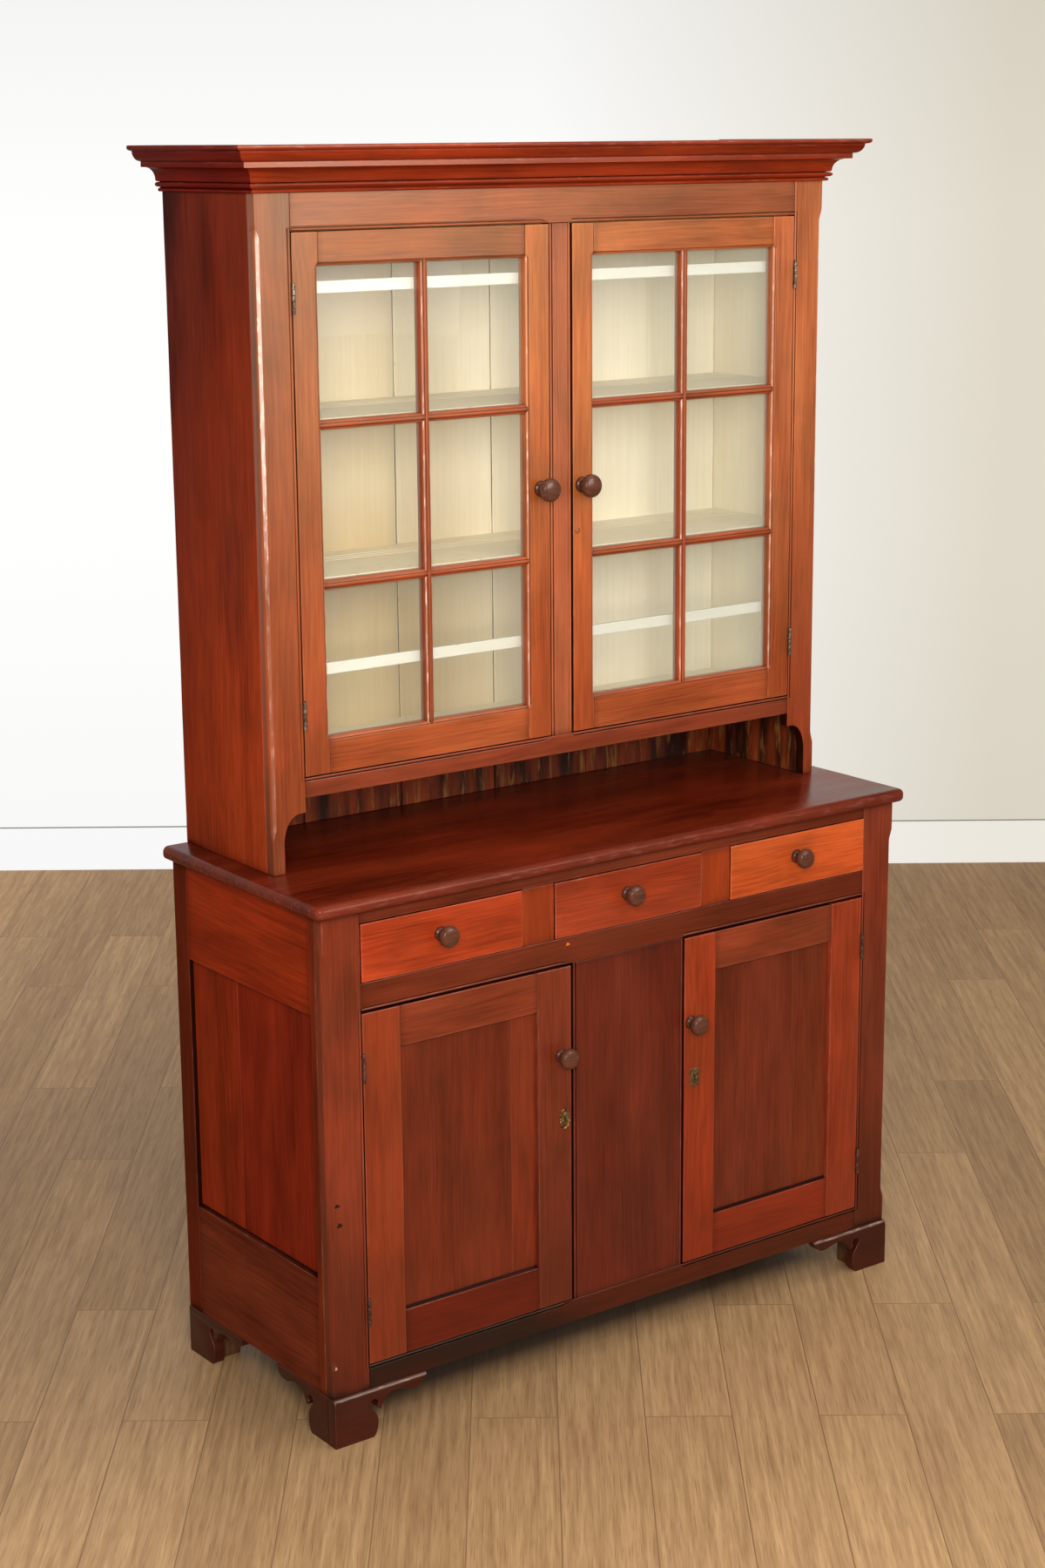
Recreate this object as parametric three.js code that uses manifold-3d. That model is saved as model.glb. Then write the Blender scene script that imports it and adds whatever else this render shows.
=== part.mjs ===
// A step back cupboard in cherry: a base with three drawers and two panelled doors, and a glazed upper case
// that stands back on the counter over an open shelf. Lengths are millimetres. X runs across the front,
// Y from the front to the back and Z up from the floor.
import * as THREE from "three";
import { mergeVertices } from "three/addons/utils/BufferGeometryUtils.js";
import Module from "manifold-3d";

const wasm = await Module();
wasm.setup();

// Overall sizes
const height = 2134; // floor to the top of the cornice
const depth = 480; // front of the base to its back
const baseWidth = 1268;
const upperInset = 30; // end of the base to the end of the upper case, on each side
const counterHeight = 950;
const stepBack = 190; // front of the base to the front of the upper case

// Fits
const seat = 0.3; // gap between two pieces that rest on each other
const doorGap = 1.5; // round each door, in its opening
const overrun = 6; // how far a cutter runs past the face it cuts
const weld = 0.001; // vertices nearer than this are one

// Boards
const frameThickness = 22; // face frames, doors and side frames
const sideThickness = 22; // solid sides of the upper case
const backThickness = 18;
const shelfThickness = 20;
const beadWidth = 5; // bead run on the edge of each door opening
const quirkWidth = 1.3; // groove that sets the bead off from the face
const quirkDepth = 2;
const seamWidth = 4; // V joint between two back boards
const seamDepth = 3;

// Counter board
const counterThickness = 24;
const counterOverhang = 18;
const counterRounding = 10; // rounding of its edge, above and below
const counterCorner = 14; // corner radius in plan

// Base, from the floor up
const footHeight = 87;
const baseBottomRail = 42;
const midRail = 48;
const drawerOpeningHeight = 102;
const baseTopRail = 20.5;
const baseStile = 73;
const drawerDivider = 67;
const centreBoardWidth = 248;
const baseFloorDrop = 2; // bottom board below the top of its rail
const baseFloorThickness = 18;
const baseShelfHeight = 440; // top of the inner shelf
const baseShelfSetback = 60;
const baseBoardCount = 5;

// Side frames of the base
const sideFrontStile = 40; // seen from the side, with the edge of the face frame
const sideRearStile = 44;
const sideTopRail = 173;
const sideBottomRail = 206;
const panelThickness = 9;
const panelRecess = 9; // face of a panel behind the face of its frame
const grooveDepth = 8;

// Bracket feet
const bracketLength = 187;
const bracketThickness = 22;
const footProud = 8; // in front of the face frame
const footSideProud = 2;
const footRounding = 6; // on the ledge that stands proud
const scrollRadius = 8; // pierced scroll
const glueBlock = 44;
const rearBracketLength = 120;
const rearBracketFoot = 52;

// Drawers
const drawerGap = 1.2;
const drawerProud = 2;
const drawerBoxPlay = 2; // each side of a drawer box
const drawerBackClearance = 24; // end of a drawer box to the back boards
const drawerSideThickness = 12;
const drawerBottomThickness = 7;
const drawerBottomRaise = 8;
const drawerSideHeight = 88;
const drawerBackHeight = 74;
const runnerThickness = 20;
const runnerWidth = 26; // wood under each drawer side
const runnerRail = 60; // cross rails at the front and the back
const guideHeight = 26;
const guideThickness = 16;
const guidePlay = 1;
const guideBackClearance = 29.7; // end of a guide to the back boards

// Lower doors
const lowerDoorStile = 75;
const lowerDoorTopRail = 71;
const lowerDoorBottomRail = 79;
const lowerKnobHeight = 462; // above the bottom of the door
const lowerLeftKnobInset = 26; // from the free edge of the door
const lowerRightKnobInset = 17;
const keyholeRadius = 3;
const keyholeSlot = 9;
const keyholeSlotWidth = 3;
const leftKeyholeInset = 18;
const leftKeyholeDrop = 118; // below the knob
const rightKeyholeInset = 27;
const rightKeyholeDrop = 104;

// Upper case, from the counter up
const openShelfHeight = 124.5; // counter to the underside of the rail
const upperBottomRail = 34.5;
const friezeHeight = 59.6;
const upperStile = 66;
const centreStile = 45;
const legWidth = 23; // what is left of the stile below the arch
const archDrop = 24; // straight part of the arch under the rail
const archStep = 9; // small square step before the curve
const archRise = 52; // height of the curve
const upperFloorRaise = 8; // bottom board above the top of its rail
const topBoardThickness = 18;
const topBoardSink = 4; // below the top of the cornice
const shelfSetback = 35; // front edge of a shelf behind the front of the case
const plateGrooveWidth = 5;
const plateGrooveDepth = 2.5;
const plateGrooveFirst = 52; // from the back of the shelf
const plateGroovePitch = 18;
const plateGrooveCount = 3;
const plateBarHeight = 20;
const plateBarThickness = 8;
const plateBarSetback = 26;
const lowerPlateBarRise = 165; // centre of the bar above the board below it
const upperPlateBarRise = 212;

// Cornice
const corniceHeight = 74.4;
const corniceReach = 63;

// Upper doors
const sashStile = 49;
const sashTopRail = 55;
const sashBottomRail = 61.5;
const muntinWidth = 16;
const stickingReach = 5; // moulding on the front edges round each pane
const stickingDepth = 7;
const glassSetback = 13;
const glassThickness = 3;
const glassRebate = 7;
const paneColumns = 2;
const paneRows = 3;
const upperKnobHeight = 440; // above the bottom of the door
const upperKnobInset = 21;

// Knobs
const upperKnobRadius = 20.5;
const upperKnobReach = 38;
const lowerKnobRadius = 18.5;
const lowerKnobReach = 34;
const spindleRadius = 5;
const spindlePlay = 0.4;
const tongueLength = 42; // from the spindle to the tip
const tongueWidth = 14;
const tongueThickness = 6;
const tonguePlay = 0.5; // behind the door and the stile
const drawerKnobRise = 6; // above the middle of the drawer
const drawerKnobShift = 6; // left of the middle

// Butt hinges
const hingeHeight = 50;
const hingeKnuckles = 5;
const hingeRadius = 3.2;
const hingeProud = 3.5; // pin axis in front of the face
const hingePin = 1.3;
const hingePinPlay = 0.3;
const leafThickness = 1.4;
const leafWidth = 17;
const hingeSegments = 10;
const upperHingeInset = 104; // end of the door to the middle of the hinge
const lowerHingeInset = 96;

// Stopped chamfers on the front corners
const chamferLeg = 8;
const chamferTongue = 26; // length of each lamb's tongue stop
const upperChamferStop = 56; // below the cornice
const upperChamferStart = 62; // above the counter
const baseChamferStop = 50; // below the counter board
const baseChamferStart = 44; // above the bottom of the case

// Facets
const turningSegments = 16;
const curveSegments = 6;

// Derived sizes
const baseCaseTop = counterHeight - counterThickness;
const baseOpeningBottom = footHeight + baseBottomRail;
const drawerOpeningTop = baseCaseTop - baseTopRail;
const drawerOpeningBottom = drawerOpeningTop - drawerOpeningHeight;
const baseOpeningTop = drawerOpeningBottom - midRail;
const drawerOpeningWidth = (baseWidth - 2 * baseStile - 2 * drawerDivider) / 3;
const drawerPitch = drawerOpeningWidth + drawerDivider;
const lowerOpeningWidth = (baseWidth - 2 * baseStile - centreBoardWidth) / 2;
const lowerOpeningHeight = baseOpeningTop - baseOpeningBottom;
const baseInside = baseWidth / 2 - frameThickness;
const backFace = depth - backThickness;
const drawerBoxLength = backFace - drawerBackClearance - (frameThickness - drawerProud);
const guideLength = backFace - guideBackClearance - (frameThickness + seat);
const upperWidth = baseWidth - 2 * upperInset;
const upperHeight = height - counterHeight;
const upperDepth = depth - stepBack;
const upperBackFace = upperDepth - backThickness;
const upperOpeningBottom = openShelfHeight + upperBottomRail;
const upperOpeningTop = upperHeight - corniceHeight - friezeHeight;
const upperOpeningWidth = (upperWidth - 2 * upperStile - centreStile) / 2;
const upperOpeningHeight = upperOpeningTop - upperOpeningBottom;
const upperInside = upperWidth / 2 - sideThickness;
const carcassTop = upperHeight - topBoardSink - topBoardThickness;
const sashWidth = upperOpeningWidth - 2 * doorGap;
const sashHeight = upperOpeningHeight - 2 * doorGap;
const paneWidth = (sashWidth - 2 * sashStile - (paneColumns - 1) * muntinWidth) / paneColumns;
const paneHeight = (sashHeight - sashTopRail - sashBottomRail - (paneRows - 1) * muntinWidth) / paneRows;
const frontReach = lowerKnobReach + drawerProud; // how far the drawer knobs stand in front of the base

const throughFrame = [-overrun, frameThickness + overrun];

// Finishes
function finish(color, roughness, metalness = 0) {
  return new THREE.MeshStandardMaterial({ color, roughness, metalness });
}

const cherry = finish(0x7e2f16, 0.38);
const lightCherry = finish(0xa5451f, 0.38);
const creamPaint = finish(0xe2d8b8, 0.55);
const drawerWood = finish(0xb98a58, 0.7);
const backWood = finish(0x5a2a18, 0.75);
const darkWood = finish(0x3b2018, 0.3);
const hingeMetal = finish(0x6d5a3c, 0.45, 0.9);
const glass = finish(0xe8efe8, 0.05);
glass.transparent = true;
glass.opacity = 0.3;

const acrossAxis = new THREE.Vector3(1, 0, 0);
const depthAxis = new THREE.Vector3(0, 1, 0);
const upAxis = new THREE.Vector3(0, 0, 1);

// A geometry whose triangles face outwards: their order is reversed if the volume they enclose is negative.
function facingOut(geometry) {
  const position = geometry.attributes.position;
  const index = geometry.index.array;
  const [a, b, c] = [new THREE.Vector3(), new THREE.Vector3(), new THREE.Vector3()];
  let volume = 0;
  for (let i = 0; i < index.length; i += 3) {
    a.fromBufferAttribute(position, index[i]);
    b.fromBufferAttribute(position, index[i + 1]);
    c.fromBufferAttribute(position, index[i + 2]);
    volume += a.dot(b.cross(c));
  }
  if (volume < 0) {
    for (let i = 0; i < index.length; i += 3) {
      [index[i + 1], index[i + 2]] = [index[i + 2], index[i + 1]];
    }
  }
  return geometry;
}

function solidFrom(geometry) {
  const bare = geometry.index ? geometry.toNonIndexed() : geometry.clone();
  for (const extra of Object.keys(bare.attributes)) {
    if (extra !== "position") bare.deleteAttribute(extra);
  }
  const merged = facingOut(mergeVertices(bare, weld));
  return new wasm.Manifold(
    new wasm.Mesh({
      numProp: 3,
      vertProperties: merged.attributes.position.array,
      triVerts: new Uint32Array(merged.index.array),
    }),
  );
}

function geometryFrom(solid) {
  const mesh = solid.getMesh();
  const geometry = new THREE.BufferGeometry();
  geometry.setAttribute("position", new THREE.BufferAttribute(mesh.vertProperties, 3));
  geometry.setIndex(new THREE.BufferAttribute(mesh.triVerts, 1));
  const flat = geometry.toNonIndexed();
  flat.computeVertexNormals();
  return flat;
}

function cut(geometry, ...cutters) {
  const tools = cutters.flat().map(solidFrom);
  return geometryFrom(tools.reduce((left, tool) => left.subtract(tool), solidFrom(geometry)));
}

function join(...geometries) {
  const [first, ...rest] = geometries.flat().map(solidFrom);
  return geometryFrom(rest.reduce((sum, solid) => sum.add(solid), first));
}

// A block between two limits on each axis, in either order.
function block(x, y, z) {
  const size = [x, y, z].map(([from, to]) => Math.abs(to - from));
  const middle = [x, y, z].map(([from, to]) => (from + to) / 2);
  return new THREE.BoxGeometry(...size).translate(...middle);
}

function extrude(outline, length) {
  return new THREE.ExtrudeGeometry(outline, { depth: length, bevelEnabled: false, curveSegments });
}

// An outline in front view, x across and y up, with its thickness from yFront towards the back.
function frontBoard(outline, yFront, thickness) {
  const basis = new THREE.Matrix4().makeBasis(acrossAxis, upAxis, depthAxis.clone().negate());
  return extrude(outline, thickness).applyMatrix4(basis).translate(0, yFront + thickness, 0);
}

// An outline in side view, x to the back and y up, with its thickness from xFrom to the right.
function sideBoard(outline, xFrom, thickness) {
  const basis = new THREE.Matrix4().makeBasis(depthAxis, upAxis, acrossAxis);
  return extrude(outline, thickness).applyMatrix4(basis).translate(xFrom, 0, 0);
}

function rectangle([x0, x1], [y0, y1]) {
  return new THREE.Shape([
    new THREE.Vector2(x0, y0),
    new THREE.Vector2(x1, y0),
    new THREE.Vector2(x1, y1),
    new THREE.Vector2(x0, y1),
  ]);
}

// A solid through rings of equally many points, closed at both ends by the triangles of one flat contour.
function loft(rings, contour) {
  const count = contour.length;
  const corners = rings.flat().flatMap((point) => point.toArray());
  const index = [];
  for (let ring = 0; ring + 1 < rings.length; ring += 1) {
    for (let i = 0; i < count; i += 1) {
      const a = ring * count + i;
      const b = ring * count + ((i + 1) % count);
      index.push(a, b, b + count, a, b + count, a + count);
    }
  }
  const last = (rings.length - 1) * count;
  const forward = THREE.ShapeUtils.area(contour) > 0;
  for (const [a, b, c] of THREE.ShapeUtils.triangulateShape(contour, [])) {
    const [p, q, r] = forward ? [a, c, b] : [a, b, c];
    index.push(forward ? p : a, forward ? q : b, forward ? r : c);
    index.push(last + a, last + (forward ? b : c), last + (forward ? c : b));
  }
  const geometry = new THREE.BufferGeometry();
  geometry.setAttribute("position", new THREE.BufferAttribute(new Float32Array(corners), 3));
  geometry.setIndex(index);
  return facingOut(geometry);
}

// A cylinder that stands along Z between two heights.
function post(radius, [zLow, zHigh], segments) {
  return new THREE.CylinderGeometry(radius, radius, zHigh - zLow, segments)
    .rotateX(Math.PI / 2)
    .translate(0, 0, (zLow + zHigh) / 2);
}

function piece(name, geometry, material, parent, at = [0, 0, 0]) {
  const mesh = new THREE.Mesh(geometry, material);
  mesh.name = name;
  mesh.position.set(...at);
  parent.add(mesh);
  return mesh;
}

const cupboard = new THREE.Group();
cupboard.position.y = (frontReach - depth) / 2; // the middle of the footprint, knobs included
const baseCase = new THREE.Group();
const upperCase = new THREE.Group();
upperCase.position.set(0, stepBack, counterHeight);
cupboard.add(baseCase, upperCase);

// The wedge that a stopped chamfer takes from a front corner at x, with a smooth S at each end.
// inward is +1 where the wood lies towards +X.
function chamferCutter(x, inward, zLow, zHigh) {
  const steps = curveSegments;
  const stations = [];
  for (let i = 0; i <= steps; i += 1) {
    const share = i / steps;
    const leg = chamferLeg * share * share * (3 - 2 * share);
    stations.push([zLow + chamferTongue * share, leg]);
    stations.push([zHigh - chamferTongue * share, leg]);
  }
  stations.sort(([a], [b]) => a - b);
  const rings = stations.map(([z, leg]) => [
    new THREE.Vector3(x - inward * overrun, -overrun, z),
    new THREE.Vector3(x + inward * (leg + overrun), -overrun, z),
    new THREE.Vector3(x - inward * overrun, leg + overrun, z),
  ]);
  return loft(rings, [new THREE.Vector2(0, 0), new THREE.Vector2(1, 0), new THREE.Vector2(0, 1)]);
}

// Hinges. Each is made about its pin, at x = 0 and y = 0, with the middle of its height at z = 0.
// inward is +1 where the door lies towards +X of the pin.
const knuckleHeight = hingeHeight / hingeKnuckles;
const knuckleSpan = (n) => [n * knuckleHeight - hingeHeight / 2, (n + 1) * knuckleHeight - hingeHeight / 2];

function knuckles(parity, radius, play) {
  const found = [];
  for (let n = parity; n < hingeKnuckles; n += 2) {
    const [low, high] = knuckleSpan(n);
    found.push(post(radius, [low + play, high - play], hingeSegments));
  }
  return found;
}

function leafPlate(side) {
  const inner = doorGap / 2;
  return block(
    [side * inner, side * (inner + leafThickness)],
    [0, hingeProud + leafWidth],
    [-hingeHeight / 2, hingeHeight / 2],
  );
}

function frameLeaf(inward) {
  const plate = cut(leafPlate(-inward), knuckles(1, hingeRadius + seat, -seat / 2));
  const pin = post(hingePin, [-hingeHeight / 2, hingeHeight / 2], hingeSegments);
  return join(plate, knuckles(0, hingeRadius, seat / 2), pin);
}

function doorLeaf(inward) {
  const plate = cut(leafPlate(inward), knuckles(0, hingeRadius + seat, -seat));
  const bore = post(hingePin + hingePinPlay, [-hingeHeight, hingeHeight], hingeSegments);
  return cut(join(plate, knuckles(1, hingeRadius, seat / 2)), bore);
}

// The recess for one leaf in the wood on that side of the pin, about the pin.
function leafMortise(side) {
  const inner = doorGap / 2;
  return block(
    [side * (inner - overrun), side * (inner + leafThickness + seat)],
    [hingeProud - overrun, hingeProud + leafWidth + seat],
    [-hingeHeight / 2 - seat, hingeHeight / 2 + seat],
  );
}

// Knobs are turned about the line that leaves the face towards -Y, with the face at y = 0.
const knobRadiusShares = [0.6, 0.66, 0.62, 0.46, 0.38, 0.38, 0.46, 0.8, 0.96, 1, 0.96, 0.78, 0.4];
const knobReachShares = [0, 0.04, 0.12, 0.17, 0.25, 0.4, 0.5, 0.58, 0.66, 0.76, 0.88, 0.96, 0.99];

function turnedKnob(radius, reach, spindleLength) {
  const profile = [new THREE.Vector2(0, -spindleLength), new THREE.Vector2(spindleRadius, -spindleLength)];
  profile.push(new THREE.Vector2(spindleRadius, seat));
  knobRadiusShares.forEach((share, i) => {
    profile.push(new THREE.Vector2(radius * share, seat + (reach - seat) * knobReachShares[i]));
  });
  profile.push(new THREE.Vector2(0, reach));
  return new THREE.LatheGeometry(profile, turningSegments).rotateX(Math.PI);
}

// A knob whose spindle passes through the door and carries a tongue that hangs straight down.
function latchKnob(radius, reach) {
  const tongueFront = frameThickness + tonguePlay;
  const spindleEnd = tongueFront + tongueThickness;
  const half = tongueWidth / 2;
  const outline = new THREE.Shape();
  outline.moveTo(-half, 0);
  outline.lineTo(-half, half - tongueLength);
  outline.absarc(0, half - tongueLength, half, Math.PI, 2 * Math.PI, false);
  outline.lineTo(half, 0);
  outline.absarc(0, 0, half, 0, Math.PI, false);
  return join(turnedKnob(radius, reach, spindleEnd), frontBoard(outline, tongueFront, tongueThickness));
}

function spindleBore(x, z, length) {
  return new THREE.CylinderGeometry(
    spindleRadius + spindlePlay,
    spindleRadius + spindlePlay,
    length + 2 * overrun,
    turningSegments,
  ).translate(x, length / 2, z);
}

// The spans of an opening in x and z, widened by a margin: for a panel, its groove or its rebate.
function panelSpans(x, z, margin) {
  return [
    [x[0] - margin, x[1] + margin],
    [z[0] - margin, z[1] + margin],
  ];
}

// The groove in the front face behind the bead of an opening, along the named edges.
function quirk([xLow, xHigh], [zLow, zHigh], edges) {
  const shell = (beaded, plain, y) => {
    const reach = (edge) => (edges.includes(edge) ? beaded : plain);
    const x = [xLow - reach("left"), xHigh + reach("right")];
    return block(x, y, [zLow - reach("bottom"), zHigh + reach("top")]);
  };
  const outer = shell(beadWidth + quirkWidth, 0, [-overrun, quirkDepth]);
  return cut(outer, shell(beadWidth, overrun, [-2 * overrun, 2 * overrun]));
}

// Base case

function makeCounter() {
  const inset = counterRounding;
  const halfWidth = baseWidth / 2 + counterOverhang - inset;
  const front = -counterOverhang + inset;
  const back = depth + inset;
  const corner = counterCorner;
  const outline = new THREE.Shape();
  outline.moveTo(-halfWidth, back);
  outline.lineTo(-halfWidth, front + corner);
  outline.quadraticCurveTo(-halfWidth, front, -halfWidth + corner, front);
  outline.lineTo(halfWidth - corner, front);
  outline.quadraticCurveTo(halfWidth, front, halfWidth, front + corner);
  outline.lineTo(halfWidth, back);
  const board = new THREE.ExtrudeGeometry(outline, {
    depth: counterThickness - 2 * counterRounding,
    bevelThickness: counterRounding,
    bevelSize: counterRounding,
    bevelSegments: curveSegments,
    curveSegments,
  }).translate(0, 0, baseCaseTop + counterRounding);
  const past = [depth, back + 2 * overrun + inset];
  const behind = block([-baseWidth, baseWidth], past, [baseCaseTop - overrun, counterHeight + overrun]);
  piece("counter_top", cut(board, behind), cherry, baseCase);
}

function makeBaseFaceFrame() {
  const half = baseWidth / 2;
  const board = block([-half, half], [0, frameThickness], [footHeight, baseCaseTop - seat]);
  const openings = [
    block([baseStile - half, half - baseStile], throughFrame, [baseOpeningBottom, baseOpeningTop]),
    ...[-1, 0, 1].map((n) => {
      const x = [n * drawerPitch - drawerOpeningWidth / 2, n * drawerPitch + drawerOpeningWidth / 2];
      return block(x, throughFrame, [drawerOpeningBottom, drawerOpeningTop]);
    }),
  ];
  const upright = [baseOpeningBottom, baseOpeningTop];
  const cutters = [
    quirk([baseStile - half, -centreBoardWidth / 2], upright, ["left", "bottom", "top"]),
    quirk([centreBoardWidth / 2, half - baseStile], upright, ["right", "bottom", "top"]),
  ];
  const chamferSpan = [footHeight + baseChamferStart, baseCaseTop - baseChamferStop];
  for (const side of [-1, 1]) {
    cutters.push(chamferCutter(side * half, -side, ...chamferSpan));
    cutters.push(...lowerHinges(side).map(({ pin }) => leafMortise(side).translate(...pin)));
  }
  piece("base_face_frame", cut(board, openings, cutters), cherry, baseCase);
}

// Pins of the two hinges of a lower door; side is -1 on the left and +1 on the right.
function lowerHinges(side) {
  const x = side * (baseWidth / 2 - baseStile - doorGap / 2);
  return [
    { end: "bottom", pin: [x, -hingeProud, baseOpeningBottom + doorGap + lowerHingeInset] },
    { end: "top", pin: [x, -hingeProud, baseOpeningTop - doorGap - lowerHingeInset] },
  ];
}

function upperHinges(side) {
  const x = side * (upperWidth / 2 - upperStile - doorGap / 2);
  return [
    { end: "bottom", pin: [x, -hingeProud, upperOpeningBottom + doorGap + upperHingeInset] },
    { end: "top", pin: [x, -hingeProud, upperOpeningTop - doorGap - upperHingeInset] },
  ];
}

function makeSides() {
  for (const [side, word] of [
    [-1, "left"],
    [1, "right"],
  ]) {
    const xFrom = side < 0 ? -baseWidth / 2 : baseWidth / 2 - frameThickness;
    const y = [sideFrontStile, depth - sideRearStile];
    const z = [footHeight + sideBottomRail, baseCaseTop - sideTopRail];
    const outline = rectangle([frameThickness + seat, depth], [footHeight, baseCaseTop - seat]);
    outline.holes.push(rectangle(y, z));
    const outer = side * (baseWidth / 2 - panelRecess);
    const inner = side * (baseWidth / 2 - panelRecess - panelThickness);
    const groove = block([outer + side * seat, inner - side * seat], ...panelSpans(y, z, grooveDepth));
    const panel = block([outer, inner], ...panelSpans(y, z, grooveDepth - seat));
    const frame = cut(sideBoard(outline, xFrom, frameThickness), groove);
    piece(`base_side_frame_${word}`, frame, cherry, baseCase);
    piece(`base_side_panel_${word}`, panel, cherry, baseCase);
  }
}

// Back boards side by side, drawn in plan, with a V joint on both faces at each seam.
function backBoards(half, front, back, seams, [zLow, zHigh]) {
  const points = [new THREE.Vector2(-half, front)];
  for (const x of seams) {
    points.push(new THREE.Vector2(x - seamWidth / 2, front), new THREE.Vector2(x, front + seamDepth));
    points.push(new THREE.Vector2(x + seamWidth / 2, front));
  }
  points.push(new THREE.Vector2(half, front), new THREE.Vector2(half, back));
  for (const x of seams.slice().reverse()) {
    points.push(new THREE.Vector2(x + seamWidth / 2, back), new THREE.Vector2(x, back - seamDepth));
    points.push(new THREE.Vector2(x - seamWidth / 2, back));
  }
  points.push(new THREE.Vector2(-half, back));
  return extrude(new THREE.Shape(points), zHigh - zLow).translate(0, 0, zLow);
}

function makeBaseInside() {
  const half = baseInside - seat;
  const front = frameThickness + seat;
  const back = backFace - seat;
  const floorTop = baseOpeningBottom - baseFloorDrop;
  const middle = [seat - centreBoardWidth / 2, centreBoardWidth / 2 - seat];
  const between = [baseOpeningBottom + seat, baseOpeningTop - seat];
  const past = [between[0] - overrun, between[1] + overrun];
  const grooves = [
    quirk([-baseWidth, -centreBoardWidth / 2], past, ["right"]),
    quirk([centreBoardWidth / 2, baseWidth], past, ["left"]),
  ];
  const centreBoard = cut(block(middle, [0, frameThickness], between), grooves);
  piece("base_centre_board", centreBoard, cherry, baseCase);
  const floor = block([-half, half], [front, back], [floorTop - baseFloorThickness, floorTop]);
  piece("base_bottom_board", floor, drawerWood, baseCase);
  const shelfSpan = [baseShelfHeight - shelfThickness, baseShelfHeight];
  piece("base_shelf", block([-half, half], [baseShelfSetback, back], shelfSpan), drawerWood, baseCase);
  const seams = [];
  for (let n = 1; n < baseBoardCount; n += 1) {
    seams.push(2 * half * (n / baseBoardCount) - half);
  }
  const boards = backBoards(half, backFace, depth, seams, [footHeight, baseCaseTop - seat]);
  piece("base_back_boards", boards, backWood, baseCase);
}

function makeRunnerFrame() {
  const half = baseInside - seat;
  const top = drawerOpeningBottom + drawerGap - seat;
  const front = frameThickness + seat;
  const back = backFace - seat;
  const boxHalf = drawerOpeningWidth / 2 - drawerBoxPlay;
  const boardHeight = [top - runnerThickness, top];
  const holes = [];
  const guides = [];
  for (const n of [-1, 0, 1]) {
    const middle = n * drawerPitch;
    const hole = [middle - boxHalf + runnerWidth, middle + boxHalf - runnerWidth];
    const past = [top - runnerThickness - overrun, top + overrun];
    holes.push(block(hole, [front + runnerRail, back - runnerRail], past));
    for (const side of [-1, 1]) {
      const near = middle + side * (boxHalf + guidePlay);
      const far = near + side * guideThickness;
      const tall = [top - runnerThickness / 2, top + guideHeight];
      guides.push(block([near, far], [front, front + guideLength], tall));
    }
  }
  const ladder = cut(block([-half, half], [front, back], boardHeight), holes);
  piece("drawer_runner_frame", join(ladder, guides), drawerWood, baseCase);
}

// Feet

// The outline of a bracket, from its corner along x, as shares of its length and height.
function bracketOutline() {
  const at = (lengthShare, heightShare) => [lengthShare * bracketLength, heightShare * footHeight];
  const top = footHeight - seat;
  const [scrollX, scrollZ] = at(0.42, 0.7);
  const outline = new THREE.Shape();
  outline.moveTo(0, 0);
  outline.lineTo(...at(0.41, 0));
  outline.quadraticCurveTo(...at(0.465, 0.12), ...at(0.462, 0.32));
  outline.quadraticCurveTo(...at(0.455, 0.5), ...at(0.4, 0.59));
  outline.absarc(scrollX, scrollZ, scrollRadius, (4 / 3) * Math.PI, -0.25 * Math.PI, true);
  outline.lineTo(...at(0.485, 0.55));
  outline.bezierCurveTo(...at(0.52, 0.68), ...at(0.55, 0.83), ...at(0.64, 0.84));
  outline.bezierCurveTo(...at(0.76, 0.86), ...at(0.8, 0.74), ...at(0.9, 0.77));
  outline.quadraticCurveTo(...at(0.97, 0.8), bracketLength, top);
  outline.lineTo(0, top);
  return outline;
}

function rearOutline() {
  const outline = new THREE.Shape();
  const top = footHeight - seat;
  outline.moveTo(0, 0);
  outline.lineTo(rearBracketFoot, 0);
  outline.quadraticCurveTo(rearBracketFoot, top / 2, rearBracketLength, top);
  outline.lineTo(0, top);
  return outline;
}

// What rounds the top edge of a ledge that runs along X, with the edge itself at y and z.
function ledgeCutter(xSpan, y, z) {
  const r = footRounding;
  const outline = new THREE.Shape();
  outline.moveTo(-overrun, overrun);
  outline.lineTo(-overrun, -r);
  outline.lineTo(0, -r);
  outline.absarc(r, -r, r, Math.PI, Math.PI / 2, true);
  outline.lineTo(r, overrun);
  const [from, to] = [Math.min(...xSpan), Math.max(...xSpan)];
  return sideBoard(outline, from, to - from).translate(0, y, z);
}

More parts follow.
